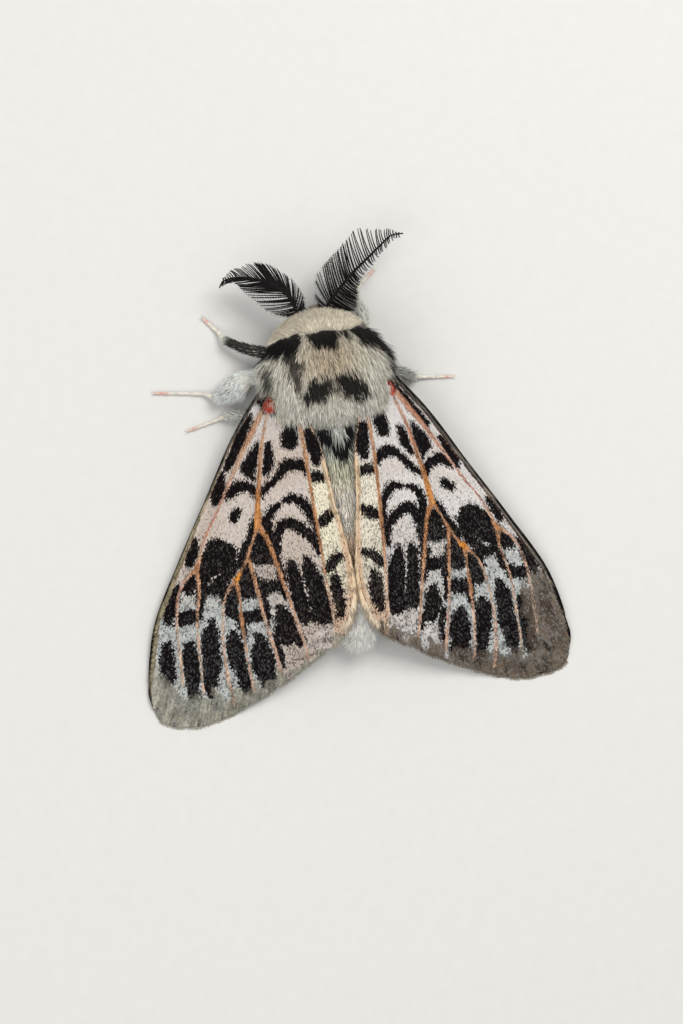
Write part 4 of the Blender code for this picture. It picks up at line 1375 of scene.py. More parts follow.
@dataclass
class Forewing:
    """One forewing: a thin membrane with raised veins, worn margin and a fringe."""

    side: Side
    plan: WingPlan
    spacing: float = 0.15
    thickness: float = 0.13
    vein_relief: float = 0.1
    sag: float = 0.07
    curl: float = 0.32
    finish: WingFinish = WingFinish()
    hair: HairFinish = HairFinish("wing_fringe", 0.6)

    def outline(self) -> Points:
        """The outline, with its outer margin worn into small notches.

        Returns:
            The outline's points.
        """
        base = self.plan.outline()
        closed = np.concatenate([base, base[:1]])
        line = even_line(closed, 620)[:-1]
        middle = np.array((6.0, 20.0))
        seed = 31 if self.side is Side.LEFT else 32
        worn = ramp(line[:, 1], 26.0, 30.5) * (line[:, 0] > 2.4)
        bite = 0.05 + 0.1 * wave_noise(line[:, 0], line[:, 1], 1.9, seed)
        bite = bite + 0.03 * wave_noise(line[:, 0], line[:, 1], 0.6, seed + 1)
        inward = unit(middle - line)
        return line + inward * (worn * np.maximum(bite, 0))[:, None]

    def top(self, out: Points, along: Points, vein: Points) -> Points:
        """The height of the membrane's top.

        Args:
            out: Outward, of each place.
            along: Along, of each place.
            vein: How deep each place lies in a vein.

        Returns:
            The height.
        """
        pattern = WingPattern(self.plan)
        sag = np.zeros(out.shape)
        for inner, outer in zip(pattern.lines[:-1], pattern.lines[1:]):
            low = np.interp(along, inner[:, 1], inner[:, 0])
            high = np.interp(along, outer[:, 1], outer[:, 0])
            share = clamp((out - low) / np.maximum(high - low, 0.2))
            sag = np.maximum(sag, 4 * share * (1 - share) * clamp((high - low) / 2.5))
        margin = pattern.margin(out, along)
        edge = np.minimum(margin, self.plan.costa_at(along) - out)
        ripple = 0.05 * wave_noise(out, along, 2.2, 5 + self.side.value) * ramp(along, 12, 30)
        ridge = self.vein_relief * np.exp(-(np.minimum(vein - 0.12, 0) / 0.16) ** 2)
        height = self.plan.roof(out, along) - 0.08 - self.sag * sag + ridge + ripple
        return np.maximum(height - self.curl * (1 - ramp(edge, 0.0, 1.8)), 0.17)

    def membrane(self) -> MeshData:
        """Build the membrane and lay the pattern on it.

        Returns:
            The closed membrane.
        """
        flat, faces, rim = sheet_of(self.outline(), self.spacing, SHEET_CLEARANCE)
        out, along = flat[:, 0], flat[:, 1]
        data = WingPattern(self.plan).fields(out, along, self.side)
        high = self.top(out, along, data.values["vein"])
        low = np.maximum(high - self.thickness, 0.03)
        count = len(flat)
        x = out * self.side.value
        data.points = np.concatenate([np.stack([x, along, high], axis=1), np.stack([x, along, low], axis=1)])
        start = np.arange(rim)
        after = (start + 1) % rim
        wall = np.concatenate([np.stack([start, start + count, after + count], axis=1),
                               np.stack([start, after + count, after], axis=1)])
        area = data.points[start, 0] @ data.points[after, 1] - data.points[after, 0] @ data.points[start, 1]
        if area * self.side.value < 0:
            wall = wall[:, ::-1]
        triangles = np.concatenate([faces, faces[:, ::-1] + count, wall])
        data.triangles = triangles if self.side is Side.LEFT else triangles[:, ::-1]
        data.values = {key: np.tile(value, 2) for key, value in data.values.items()}
        data.colours = {key: np.tile(value, (2, 1)) for key, value in data.colours.items()}
        data.places = {key: np.tile(value, (2, 1)) for key, value in data.places.items()}
        return data

    def fringe(self) -> Tufts:
        """Build the fine fringe of the outer margin.

        Returns:
            The fringe's tufts.
        """
        rng = np.random.default_rng(60 + self.side.value)
        line = self.outline()
        spots = line[(line[:, 1] > 27.5) & (line[:, 1] > 33.4 - 0.9 * (18.4 - line[:, 0]))]
        picks = rng.choice(len(spots), 3000)
        roots = spots[picks] + rng.normal(0, 0.06, (len(picks), 2))
        keep = rng.random(len(roots)) < 0.45 + 0.55 * (wave_noise(roots[:, 0], roots[:, 1], 1.1, 66) > -0.1)
        roots = roots[keep]
        outward = unit(roots - np.array((5.0, 14.0)) + rng.normal(0, 1.6, roots.shape))
        vein = np.full(len(roots), -5.0)
        height = self.top(roots[:, 0], roots[:, 1], vein) - 0.05
        count = len(roots)
        x = roots[:, 0] * self.side.value
        lies = unit(np.stack([outward[:, 0] * self.side.value, outward[:, 1], np.full(count, -0.05)], axis=1))
        worn = WORN_LEFT if self.side is Side.LEFT else WORN_RIGHT
        tone = WingPattern.blend(worn, srgb(176, 168, 152), rng.random(count) * 0.7)
        return Tufts(np.stack([x, roots[:, 1], height], axis=1), lies, np.tile((0.0, 0.0, 1.0), (count, 1)),
                     rng.uniform(0.1, 0.26, count), rng.uniform(0.02, 0.035, count), np.full(count, 0.02),
                     tone, tone * 1.2, self.unwrap(roots), long_rings=False)

    @staticmethod
    def unwrap(places: Points) -> Points:
        """The wing laid flat, as the coat's map has it."""
        return np.stack([0.05 + places[:, 0] / 24, 0.05 + places[:, 1] / 40], axis=1)

    def build(self, shop: Workshop) -> None:
        """Make the wing's pieces.

        Args:
            shop: Where pieces are made.
        """
        name = f"forewing_{self.side.word}"
        shop.piece(f"{name}_membrane", self.membrane(), self.finish, (name,))
        self.fringe().pieces(shop, f"{name}_fringe", self.hair, Slot.WING)


@dataclass
class Hindwing:
    """One hindwing, folded under the forewing."""

    side: Side
    plan: WingPlan
    spacing: float = 0.3
    below: float = 1.05
    thickness: float = 0.12
    line: tuple = ((3.6, 8.6), (6.0, 9.6), (9.2, 13.6), (12.2, 18.6), (14.2, 23.6), (14.2, 27.2),
                   (11.6, 29.4),
                   (8.2, 29.0), (5.2, 27.4), (3.0, 25.4), (2.7, 21.0), (2.9, 15.5), (3.2, 11.0))
    ribs: tuple = (((4.6, 10.0), (8.0, 15.5), (10.8, 21.5), (12.4, 27.0)),
                   ((4.2, 10.6), (6.4, 16.5), (8.4, 22.5), (9.2, 27.4)),
                   ((3.7, 11.5), (4.5, 17.0), (5.4, 22.0), (5.8, 26.0)))
    finish: HindwingFinish = HindwingFinish()

    def build(self, shop: Workshop) -> None:
        """Make the hindwing.

        Args:
            shop: Where pieces are made.
        """
        outline = even_line(smooth_line(self.line + self.line[:1], 8), 241)[:-1]
        flat, faces, rim = sheet_of(outline, self.spacing, SHEET_CLEARANCE)
        out, along = flat[:, 0], flat[:, 1]
        vein = np.full(len(flat), -5.0)
        for rib in self.ribs:
            line = smooth_line(rib, 6)
            vein = np.maximum(vein, line_depth(out, along, np.column_stack([line, np.full(len(line), 0.14)])))
        ridge = 0.1 * np.exp(-(np.minimum(vein, 0) / 0.2) ** 2)
        wave = 0.05 * wave_noise(out, along, 3.0, 8)
        high = np.maximum(self.plan.roof(out, along) - self.below + ridge + wave, 0.13)
        low = np.maximum(high - self.thickness, 0.02)
        count, x = len(flat), out * self.side.value
        points = np.concatenate([np.stack([x, along, high], axis=1), np.stack([x, along, low], axis=1)])
        start = np.arange(rim)
        after = (start + 1) % rim
        wall = np.concatenate([np.stack([start, start + count, after + count], axis=1),
                               np.stack([start, after + count, after], axis=1)])
        turn = outline[:, 0] @ np.roll(outline[:, 1], -1) - outline[:, 1] @ np.roll(outline[:, 0], -1)
        if turn < 0:
            wall = wall[:, ::-1]
        triangles = np.concatenate([faces, faces[:, ::-1] + count, wall])
        triangles = triangles if self.side is Side.LEFT else triangles[:, ::-1]
        flow = np.stack([out, along, np.zeros(count)], axis=1)
        data = MeshData(points, triangles, {"vein": np.tile(vein, 2)}, {}, {"flow": np.tile(flow, (2, 1))})
        name = f"hindwing_{self.side.word}"
        shop.piece(f"{name}_membrane", data, self.finish, (name,))


# Body and coat

@dataclass(frozen=True)
class EyePlan:
    """Where the eyes are and how big."""

    out: float = 1.35
    along: float = 0.5
    up: float = 2.85
    radius: float = 0.85

    def centre(self, side: Side) -> Points:
        """An eye's centre."""
        return np.array((self.out * side.value, self.along, self.up))


@dataclass
class BodySkin:
    """One skin over head, chest and belly, made of balls that a voxel remesh melts together."""

    thorax_centre: tuple = (0.0, 5.0, 4.3)
    thorax_half: tuple = (4.75, 4.65, 2.95)
    head_centre: tuple = (0.0, 1.1, 2.95)
    head_half: tuple = (1.35, 1.25, 1.4)
    abdomen: tuple = ((8.6, 3.4, 2.0), (11.5, 3.2, 2.15), (14.5, 3.0, 2.15), (17.5, 2.8, 2.05),
                      (20.5, 2.6, 1.9), (23.5, 2.35, 1.6), (25.5, 2.2, 1.2), (27.0, 2.1, 0.8))
    palp_root: tuple = (0.5, 0.1, 2.2)
    palp_tip: tuple = (0.45, -0.1, 1.35)
    palp_radii: tuple = (0.3, 0.34, 0.18)
    voxel: float = 0.17
    ring_pitch: float = 2.3
    ring_depth: float = 0.1

    def ball(self, centre: Sequence[float], half: Sequence[float]) -> bpy.types.Object:
        """Add one ball.

        Args:
            centre: Its centre.
            half: Its half sizes.

        Returns:
            The ball.
        """
        bpy.ops.mesh.primitive_uv_sphere_add(segments=40, ring_count=20, radius=1.0, location=tuple(centre))
        made = bpy.context.object
        made.scale = tuple(half)
        return made

    def balls(self) -> list[bpy.types.Object]:
        """Add all the balls.

        Returns:
            The balls, from head to tail.
        """
        made = [self.ball(self.thorax_centre, self.thorax_half), self.ball(self.head_centre, self.head_half)]
        line = even_line(np.array(self.abdomen)[:, [0, 1, 2]], 60)
        for along, up, radius in line:
            groove = self.ring_depth * (0.5 + 0.5 * math.cos(math.tau * along / self.ring_pitch)) ** 4
            size = radius - groove
            made.append(self.ball((0.0, along, up), (size, 0.8 * size, size)))
        for side in Side:
            root, tip = np.array(self.palp_root), np.array(self.palp_tip)
            for share in np.linspace(0, 1, 6):
                centre = root + (tip - root) * share
                radius = np.interp(share, (0, 0.5, 1), self.palp_radii)
                made.append(self.ball(centre * (side.value, 1, 1), (radius,) * 3))
        return made

    def melt(self) -> bpy.types.Object:
        """Join the balls into one smooth skin.

        Returns:
            The skin, in body millimetres.
        """
        bpy.ops.object.select_all(action="DESELECT")
        balls = self.balls()
        for ball in balls:
            ball.select_set(True)
        bpy.context.view_layer.objects.active = balls[0]
        bpy.ops.object.join()
        bpy.ops.object.transform_apply(location=True, rotation=True, scale=True)
        skin = bpy.context.object
        skin.name = "body_skin"
        skin.data.name = "body_skin"
        bpy.ops.object.modifier_add(type="REMESH")
        skin.modifiers[-1].mode = "VOXEL"
        skin.modifiers[-1].voxel_size = self.voxel
        bpy.ops.object.modifier_apply(modifier=skin.modifiers[-1].name)
        bpy.ops.object.modifier_add(type="SMOOTH")
        skin.modifiers[-1].iterations = 4
        bpy.ops.object.modifier_apply(modifier=skin.modifiers[-1].name)
        bpy.ops.object.shade_smooth()
        bpy.ops.object.select_all(action="DESELECT")
        return skin


@dataclass
class CoatPattern:
    """The coat's tones, by place on the body."""

    collar_back: tuple = ((-3.3, 1.95), (-1.5, 2.3), (-0.1, 1.95), (0.9, 2.2), (2.1, 1.85), (2.8, 2.1),
                          (4.3, 2.55))
    collar_front: tuple = ((-3.3, 1.45), (-2.4, .7), (-1.4, .3), (-.5, 0.), (.5, -.05), (1.5, .1),
                           (2.5, .35), (3.8, 1.), (4.3, 1.7))
    collar_ends: tuple[float, float] = (-3.2, 4.3)
    front_spot: tuple = ((1.05, 2.35, .42), (0.5, 2.65, .64), (-0.1, 2.8, .72), (-0.7, 2.65, .64),
                         (-1.25, 2.3, .38))
    left_front: tuple = ((5.0, 2.9, .7), (4.2, 2.9, .82), (3.5, 2.95, .82), (2.9, 2.9, .74), (2.5, 2.5, .52))
    left_streak: tuple = ((3.0, 3.4, .6), (2.75, 4.3, .46), (2.65, 5.2, .34), (2.7, 6.2, .16))
    right_front: tuple = ((-2.6, 2.4, .46), (-3.1, 2.6, .72), (-3.7, 2.85, .78), (-4.5, 3.4, .62),
                          (-5.1, 4.1, .5), (-5.4, 5.0, .4), (-5.5, 6.0, .26))
    rear_left: tuple = ((0.45, 6.8, .3), (0.85, 6.7, .78), (1.4, 6.9, .8), (2.0, 7.35, .34))
    rear_right: tuple = ((-0.95, 6.5, .4), (-1.35, 6.6, .86), (-1.9, 7.0, .78), (-2.55, 7.5, .3))
    arch: tuple = ((0.9, 6.2, .12), (0.45, 6.0, .16), (-0.1, 6.05, .16), (-0.6, 6.4, .14))
    belly_mark: tuple = ((1.5, 9.3, .36), (1.05, 10.5, .26), (0.45, 11.6, .24), (-0.3, 12.7, .34),
                         (-0.8, 11.7, .2), (-1.2, 10.5, .22), (-1.35, 9.3, .26))
    shoulder_line: tuple = ((4.75, 4.3, .16), (4.85, 5.3, .2), (4.9, 6.4, .16))
    softness: float = 0.3

    def tint(self, spots: Points, rng: np.random.Generator) -> Points:
        """Work out the coat's colour.

        Args:
            spots: The places.
            rng: The seeded generator.

        Returns:
            The colours.
        """
        x, y, z = spots.T
        count = len(spots)
        mix = WingPattern.blend
        tint = mix(COAT_GREY, srgb(232, 228, 214), rng.random(count) * 0.8)
        ochre = np.exp(-((x + 0.1) / 2.4) ** 2 - ((y - 4.4) / 2.0) ** 2)
        tint = mix(tint, COAT_OCHRE, clamp(ochre * 1.2))
        fleck = (rng.random(count) < 0.2 * np.exp(-((x + 0.2) / 1.7) ** 2 - ((y - 4.3) / 1.2) ** 2)) * 0.8
        tint = mix(tint, srgb(84, 66, 50), fleck)
        side_grey = ramp(np.abs(x), 3.4, 4.8)
        tint = mix(tint, srgb(204, 204, 194), 0.6 * side_grey)
        back = np.interp(x, *np.array(self.collar_back).T) + 0.1 * wave_noise(x, y, 1.5, 3)
        ends = ramp(x, self.collar_ends[0] - 0.3, self.collar_ends[0]) * ramp(-x, -self.collar_ends[1] - 0.3,
                                                                              -self.collar_ends[1])
        collar = ramp(back - y, -0.12, 0.12) * ramp(z, 2.6, 3.4) * ends
        tint = mix(tint, COLLAR_CREAM, collar)
        # Painted shadow: the head's front and the palps, low under the collar's overhang, are darkened to
        # brown.
        brow = (1 - ramp(y, 0.0, 0.5)) * (1 - ramp(z, 3.7, 4.3))
        tint = mix(tint, srgb(120, 98, 76), 0.75 * brow)
        under = ramp(-z, -3.0, -1.6)
        tint = mix(tint, srgb(150, 140, 118), 0.6 * under)
        wobble = 0.22 * wave_noise(x, y, 0.9, 4) + rng.normal(0, 0.12, count)
        top = ramp(z, 2.6, 3.8) * (1 - ramp(collar, 0.3, 0.7))
        reaches = [(line_depth(x, y, np.array(spine)) + wobble, depth) for spine, depth in (
            (self.front_spot, 1.0), (self.left_front, 1.0), (self.left_streak, .85), (self.right_front, .97),
            (self.rear_left, .96), (self.rear_right, .97), (self.arch, .5), (self.shoulder_line, .8))]
        for reach, depth in reaches:
            tint = mix(tint, srgb(116, 98, 80), 0.45 * ramp(reach, -0.45, 0.0) * depth * top)
        for reach, depth in reaches:
            inside = ramp(reach, -self.softness, self.softness / 2) > rng.random(count)
            tint = mix(tint, COAT_DARK, depth * inside * top)
        return self.belly_tint(tint, spots, rng)

    def belly_tint(self, tint: Points, spots: Points, rng: np.random.Generator) -> Points:
        """Lay the abdomen's tones over the chest's.

        Args:
            tint: The colours so far.
            spots: The places.
            rng: The seeded generator.

        Returns:
            The colours.
        """
        x, y, z = spots.T
        count = len(spots)
        mix = WingPattern.blend
        belly = ramp(y + 0.15 * wave_noise(x, y, 0.8, 9), 9.6, 10.3)
        tone = mix(ABDOMEN_CREAM, srgb(222, 220, 200), rng.random(count))
        tone = mix(tone, srgb(186, 190, 188), 0.8 * ramp(-y, -13.4, -12.2))
        ring = (y - 0.35 * np.abs(x)) % 1.5
        bars = ramp(0.3 - np.abs(ring - 0.6), 0.0, 0.14) * ramp(2.2 - np.abs(x), 0, .4) * ramp(z, 2.5, 3.6)
        tone = mix(tone, ABDOMEN_DARK, 0.3 * bars * ramp(np.abs(x), 0.9, 1.5))
        tone = mix(tone, srgb(255, 242, 226), 0.95 * ramp(y, 14.5, 16.0))
        tone = mix(tone, srgb(214, 182, 150), 0.9 * ramp(y, 18.5, 20.5) * (1 - ramp(y, 22, 23.5)))
        wedge = ramp(line_depth(x, y, np.array(self.belly_mark)) + 0.12 * wave_noise(x, y, 0.7, 12), -0.3,
                     0.0)
        tone = mix(tone, BLACK_SCALE, (wedge > rng.random(count)) * ramp(z, 2.0, 2.6))
        flank = ramp(0.5 - np.hypot(np.abs(x) - 1.6, (y - 13.2) * 0.6), -0.1, 0.15)
        tone = mix(tone, ABDOMEN_DARK, 0.85 * flank * ramp(z, 2.4, 3.2))
        tone = mix(tone, TAIL_WHITE, ramp(y, 22, 25))
        return mix(tint, tone, belly)


@dataclass
class Coat:
    """The body's coat, in its natural lies."""

    skin: BodySkin
    eyes: EyePlan
    pattern: CoatPattern = field(default_factory=CoatPattern)
    bare_spots: tuple = ((5.1, 7.6, .6), (-5.2, 7.35, .36))
    finish: HairFinish = HairFinish("wool_hair", 0.66)

    def unwrap(self, spots: Points) -> Points:
        """Unwrap the skin round the body's length.

        Args:
            spots: The roots.

        Returns:
            The places on the map.
        """
        centre_up = np.interp(spots[:, 1], (0, 5, 9, 27), (3.0, 4.3, 3.4, 2.1))
        turn = np.arctan2(spots[:, 0], spots[:, 2] - centre_up)
        return np.stack([0.5 + 0.48 * turn / math.pi, 0.03 + (spots[:, 1] + 2) / 32], axis=1)

    def lay(self, roots: Points, normals: Points, toward: Points, lift: Points) -> Points:
        """Lay directions along the skin.

        Args:
            roots: The roots; not used.
            normals: The skin's normals.
            toward: The wanted directions.
            lift: How much of the normal they keep.

        Returns:
            The directions.
        """
        flat = toward - normals * (toward * normals).sum(axis=1, keepdims=True)
        return unit(unit(flat) + normals * np.asarray(lift)[:, None])

    def grow(self, hide: Hide, count: int, seed: int, weight: Callable[[Points], Points],
             toward: Callable[[Points], Points], length: tuple[float, float], width: tuple[float, float],
             lift: float, spread: float, long_rings: bool = True, contrast: float = 1.0) -> Tufts:
        """Grow one stretch of coat.

        Args:
            hide: The skin's surface.
            count: The tufts.
            seed: The seed.
            weight: How densely roots stand.
            toward: Where the hair points.
            length: The least and greatest length.
            width: The least and greatest width.
            lift: How much the hair rises.
            spread: How uneven the lie is.
            long_rings: Whether tufts have three rings.
            contrast: How far the tufts' shades lie apart, and how much painted shade darkens their roots.

        Returns:
            The tufts.
        """
        rng = np.random.default_rng(seed)
        roots, normals = hide.scatter(count, rng, weight)
        clumps = 0.35 * np.stack([wave_noise(roots[:, 0], roots[:, 1] + roots[:, 2], 1.2, seed + k)
                                  for k in range(3)], axis=1)
        want = unit(toward(roots)) + spread * (rng.normal(0, 0.7, roots.shape) + clumps)
        lies = self.lay(roots, normals, want, lift * rng.uniform(0.4, 1.3, count))
        lengths = rng.uniform(*length, count)
        keep = np.ones(count, bool)
        tips = roots + lies * lengths[:, None]
        for across, along, reach in self.bare_spots:
            for share in (0.2, 0.4, 0.6, 0.8, 1.0):
                spots = roots + (tips - roots) * share
                keep &= np.hypot(spots[:, 0] - across, spots[:, 1] - along) > reach
        for side in Side:
            centre = self.eyes.centre(side)
            keep &= np.linalg.norm(roots - centre, axis=1) > self.eyes.radius + 0.03
        seen = roots + lies * (lengths * 0.55)[:, None]
        tint = self.pattern.tint(seen, rng)
        shade = np.where(rng.random(count) < 0.3, rng.uniform(0.34, 0.7, count),
                         rng.uniform(0.84, 1.14, count))
        shade = (1 - contrast * (1 - shade))[:, None]
        # Each tuft's root is darker than its tip: painted shade deep in the coat. The shades above differ at
        # random from tuft to tuft.
        tufts = Tufts(roots, lies, normals, lengths, rng.uniform(*width, count), np.full(count, lift * 0.5),
                      tint * shade * (1 - 0.38 * contrast), np.minimum(tint * shade * 1.16, 0.94),
                      self.unwrap(roots), long_rings)
        for name in ("roots", "lies", "normals", "lengths", "widths", "lifts", "root_tint", "tip_tint",
                     "unwrap"):
            setattr(tufts, name, getattr(tufts, name)[keep])
        return tufts

    def collar(self, hide: Hide) -> Tufts:
        """Hair that fans forward over the head."""
        def weight(p: Points) -> Points:
            """The collar's ground."""
            back = np.interp(p[:, 0], *np.array(self.pattern.collar_back).T) + 0.1
            front = np.interp(p[:, 0], *np.array(self.pattern.collar_front).T) + 0.75
            low, high = self.pattern.collar_ends
            return ((p[:, 1] < back) & (p[:, 1] > front) & (p[:, 0] > low) & (p[:, 0] < high)) * ramp(p[:,
                                                                                                        2],
                                                                                                      2.6,
                                                                                                      3.3)
        def toward(p: Points) -> Points:
            """Away from the chest's middle, and a little up."""
            return np.stack([0.8 * (p[:, 0] - 0.1), p[:, 1] - 3.9, 0.1 * (p[:, 2] - 4.0)], axis=1)
        return self.grow(hide, 14000, 101, weight, toward, (0.75, 1.2), (0.03, 0.065), 0.3, 0.14,
                         contrast=0.75)

    def disc(self, hide: Hide) -> Tufts:
        """Hair of the chest's back."""
        def weight(p: Points) -> Points:
            """The back between the shoulder tufts."""
            return ramp(p[:, 1], 2.0, 2.3) * ramp(8.6 - p[:, 1], 0, 1) * ramp(p[:, 2], 4.2, 5.0)
        def toward(p: Points) -> Points:
            """Backward, parting from the middle."""
            return np.stack([0.16 * p[:, 0] * ramp(p[:, 1], 3, 8), np.ones(len(p)), np.zeros(len(p))], axis=1)
        return self.grow(hide, 19000, 102, weight, toward, (0.9, 1.8), (0.035, 0.078), 0.4, 0.32,
                         contrast=0.85)

    def tegulae(self, hide: Hide) -> Tufts:
        """Long hair that flows from the shoulders over the wing bases."""
        def weight(p: Points) -> Points:
            """The shoulders."""
            return (ramp(np.abs(p[:, 0]), 2.5, 3.2) * ramp(p[:, 1], 2.6, 3.2) * ramp(8.4 - p[:, 1], 0, 1)
                    * ramp(p[:, 2], 3.0, 3.8))
        def toward(p: Points) -> Points:
            """Backward and outward."""
            return np.stack([0.24 * np.sign(p[:, 0]), np.ones(len(p)), -0.05 + np.zeros(len(p))], axis=1)
        return self.grow(hide, 14000, 103, weight, toward, (1.5, 2.9), (0.04, 0.09), 0.28, 0.28)

    def rear(self, hide: Hide) -> Tufts:
        """Pale hair that overhangs the abdomen's base."""
        def weight(p: Points) -> Points:
            """The back's rear."""
            return ramp(p[:, 1], 7.0, 7.8) * (p[:, 1] < 9.8) * ramp(p[:, 2], 3.4, 4.2)
        def toward(p: Points) -> Points:
            """Backward."""
            return np.stack([0.1 * p[:, 0], np.ones(len(p)), 0.1 + np.zeros(len(p))], axis=1)
        return self.grow(hide, 8000, 104, weight, toward, (1.3, 2.3), (0.045, 0.1), 0.24, 0.26)

    def flanks(self, hide: Hide) -> Tufts:
        """Hair of the chest's sides and underside."""
        def weight(p: Points) -> Points:
            """The chest low down."""
            return ramp(4.6 - p[:, 2], 0, 0.8) * ramp(p[:, 1], 0.6, 1.4) * (p[:, 1] < 9.4)
        def toward(p: Points) -> Points:
            """Backward and down."""
            return np.stack([0.25 * np.sign(p[:, 0]), np.ones(len(p)), -0.5 + np.zeros(len(p))], axis=1)
        return self.grow(hide, 9000, 105, weight, toward, (0.9, 1.6), (0.06, 0.11), 0.24, 0.2,
                         long_rings=False)

    def face(self, hide: Hide) -> Tufts:
        """Short hair of the head and the feelers' roots."""
        def weight(p: Points) -> Points:
            """The head."""
            away = np.linalg.norm((p - np.array(self.skin.head_centre)) / np.array(self.skin.head_half),
                                  axis=1)
            return (away < 1.08) * (p[:, 1] < 1.8) * 1.0 + (p[:, 1] < -0.25) * 2.0
        def toward(p: Points) -> Points:
            """Forward and down over the brow, forward on the palps."""
            palp = (p[:, 1] < -0.25) * 1.0
            return np.stack([0.3 * p[:, 0] * (1 - palp), -1.0 - palp, -0.55 * (1 - palp) - 0.1 * palp],
                            axis=1)
        return self.grow(hide, 6500, 106, weight, toward, (0.25, 0.55), (0.03, 0.055), 0.34, 0.2,
                         long_rings=False)

    def brow(self, hide: Hide) -> Tufts:
        """Short hair of the neck, under the collar's front."""
        def weight(p: Points) -> Points:
            """The chest's front and the head's crown."""
            front = np.interp(p[:, 0], *np.array(self.pattern.collar_front).T) + 0.95
            return (p[:, 1] < front) * ramp(p[:, 2], 2.4, 3.2) * (p[:, 1] > -0.1)
        def toward(p: Points) -> Points:
            """Forward and outward."""
            return np.stack([0.6 * p[:, 0], np.full(len(p), -1.0), 0.35 + np.zeros(len(p))], axis=1)
        return self.grow(hide, 5000, 109, weight, toward, (0.35, 0.75), (0.035, 0.065), 0.5, 0.22,
                         long_rings=False)

    def belly(self, hide: Hide) -> Tufts:
        """Hair of the abdomen, on every side."""
        def weight(p: Points) -> Points:
            """The abdomen."""
            return ramp(p[:, 1], 9.0, 9.6) * (p[:, 1] < 26.2)
        def toward(p: Points) -> Points:
            """Backward."""
            return np.stack([0.04 * p[:, 0], np.ones(len(p)), np.zeros(len(p))], axis=1)
        return self.grow(hide, 12000, 107, weight, toward, (1.1, 2.0), (0.05, 0.1), 0.3, 0.18,
                         long_rings=False, contrast=0.6)

    def tail(self, hide: Hide) -> Tufts:
        """The white tuft at the tail."""
        def weight(p: Points) -> Points:
            """The abdomen's end."""
            return ramp(p[:, 1], 21.5, 24.0) * ramp(p[:, 2], 1.2, 2.2) * ramp(-np.abs(p[:, 0]), -1.6, -0.9)
        def toward(p: Points) -> Points:
            """Backward, spreading a little."""
            return np.stack([0.14 - 0.06 * p[:, 0], np.ones(len(p)), 0.14 + np.zeros(len(p))], axis=1)
        return self.grow(hide, 6000, 108, weight, toward, (1.6, 2.6), (0.05, 0.1), 0.3, 0.08, contrast=0.5)

    def build(self, shop: Workshop) -> None:
        """Make the skin and every stretch of coat.

        Args:
            shop: Where pieces are made.
        """
        skin = self.skin.melt()
        hide = Hide.of(skin)
        count = len(skin.data.vertices)
        tint = self.pattern.tint(hide.points, np.random.default_rng(5)) * 0.6
        full = np.concatenate([tint, np.ones((count, 1))], axis=1)
        skin.data.attributes.new("tint", "FLOAT_COLOR", "POINT").data.foreach_set("color", full.ravel())
        skin.data.vertices.foreach_set("co", shop.frame.place(hide.points).ravel())
        skin.data.update()
        shop.settle(skin, self.finish, ("head", "thorax", "abdomen", "palp_left", "palp_right"))
        stretches = (self.collar, self.disc, self.tegulae, self.rear, self.flanks, self.face, self.brow,
                     self.belly, self.tail)
        for grow in stretches:
            grow(hide).pieces(shop, f"coat_{grow.__name__}", self.finish, Slot.WOOL)


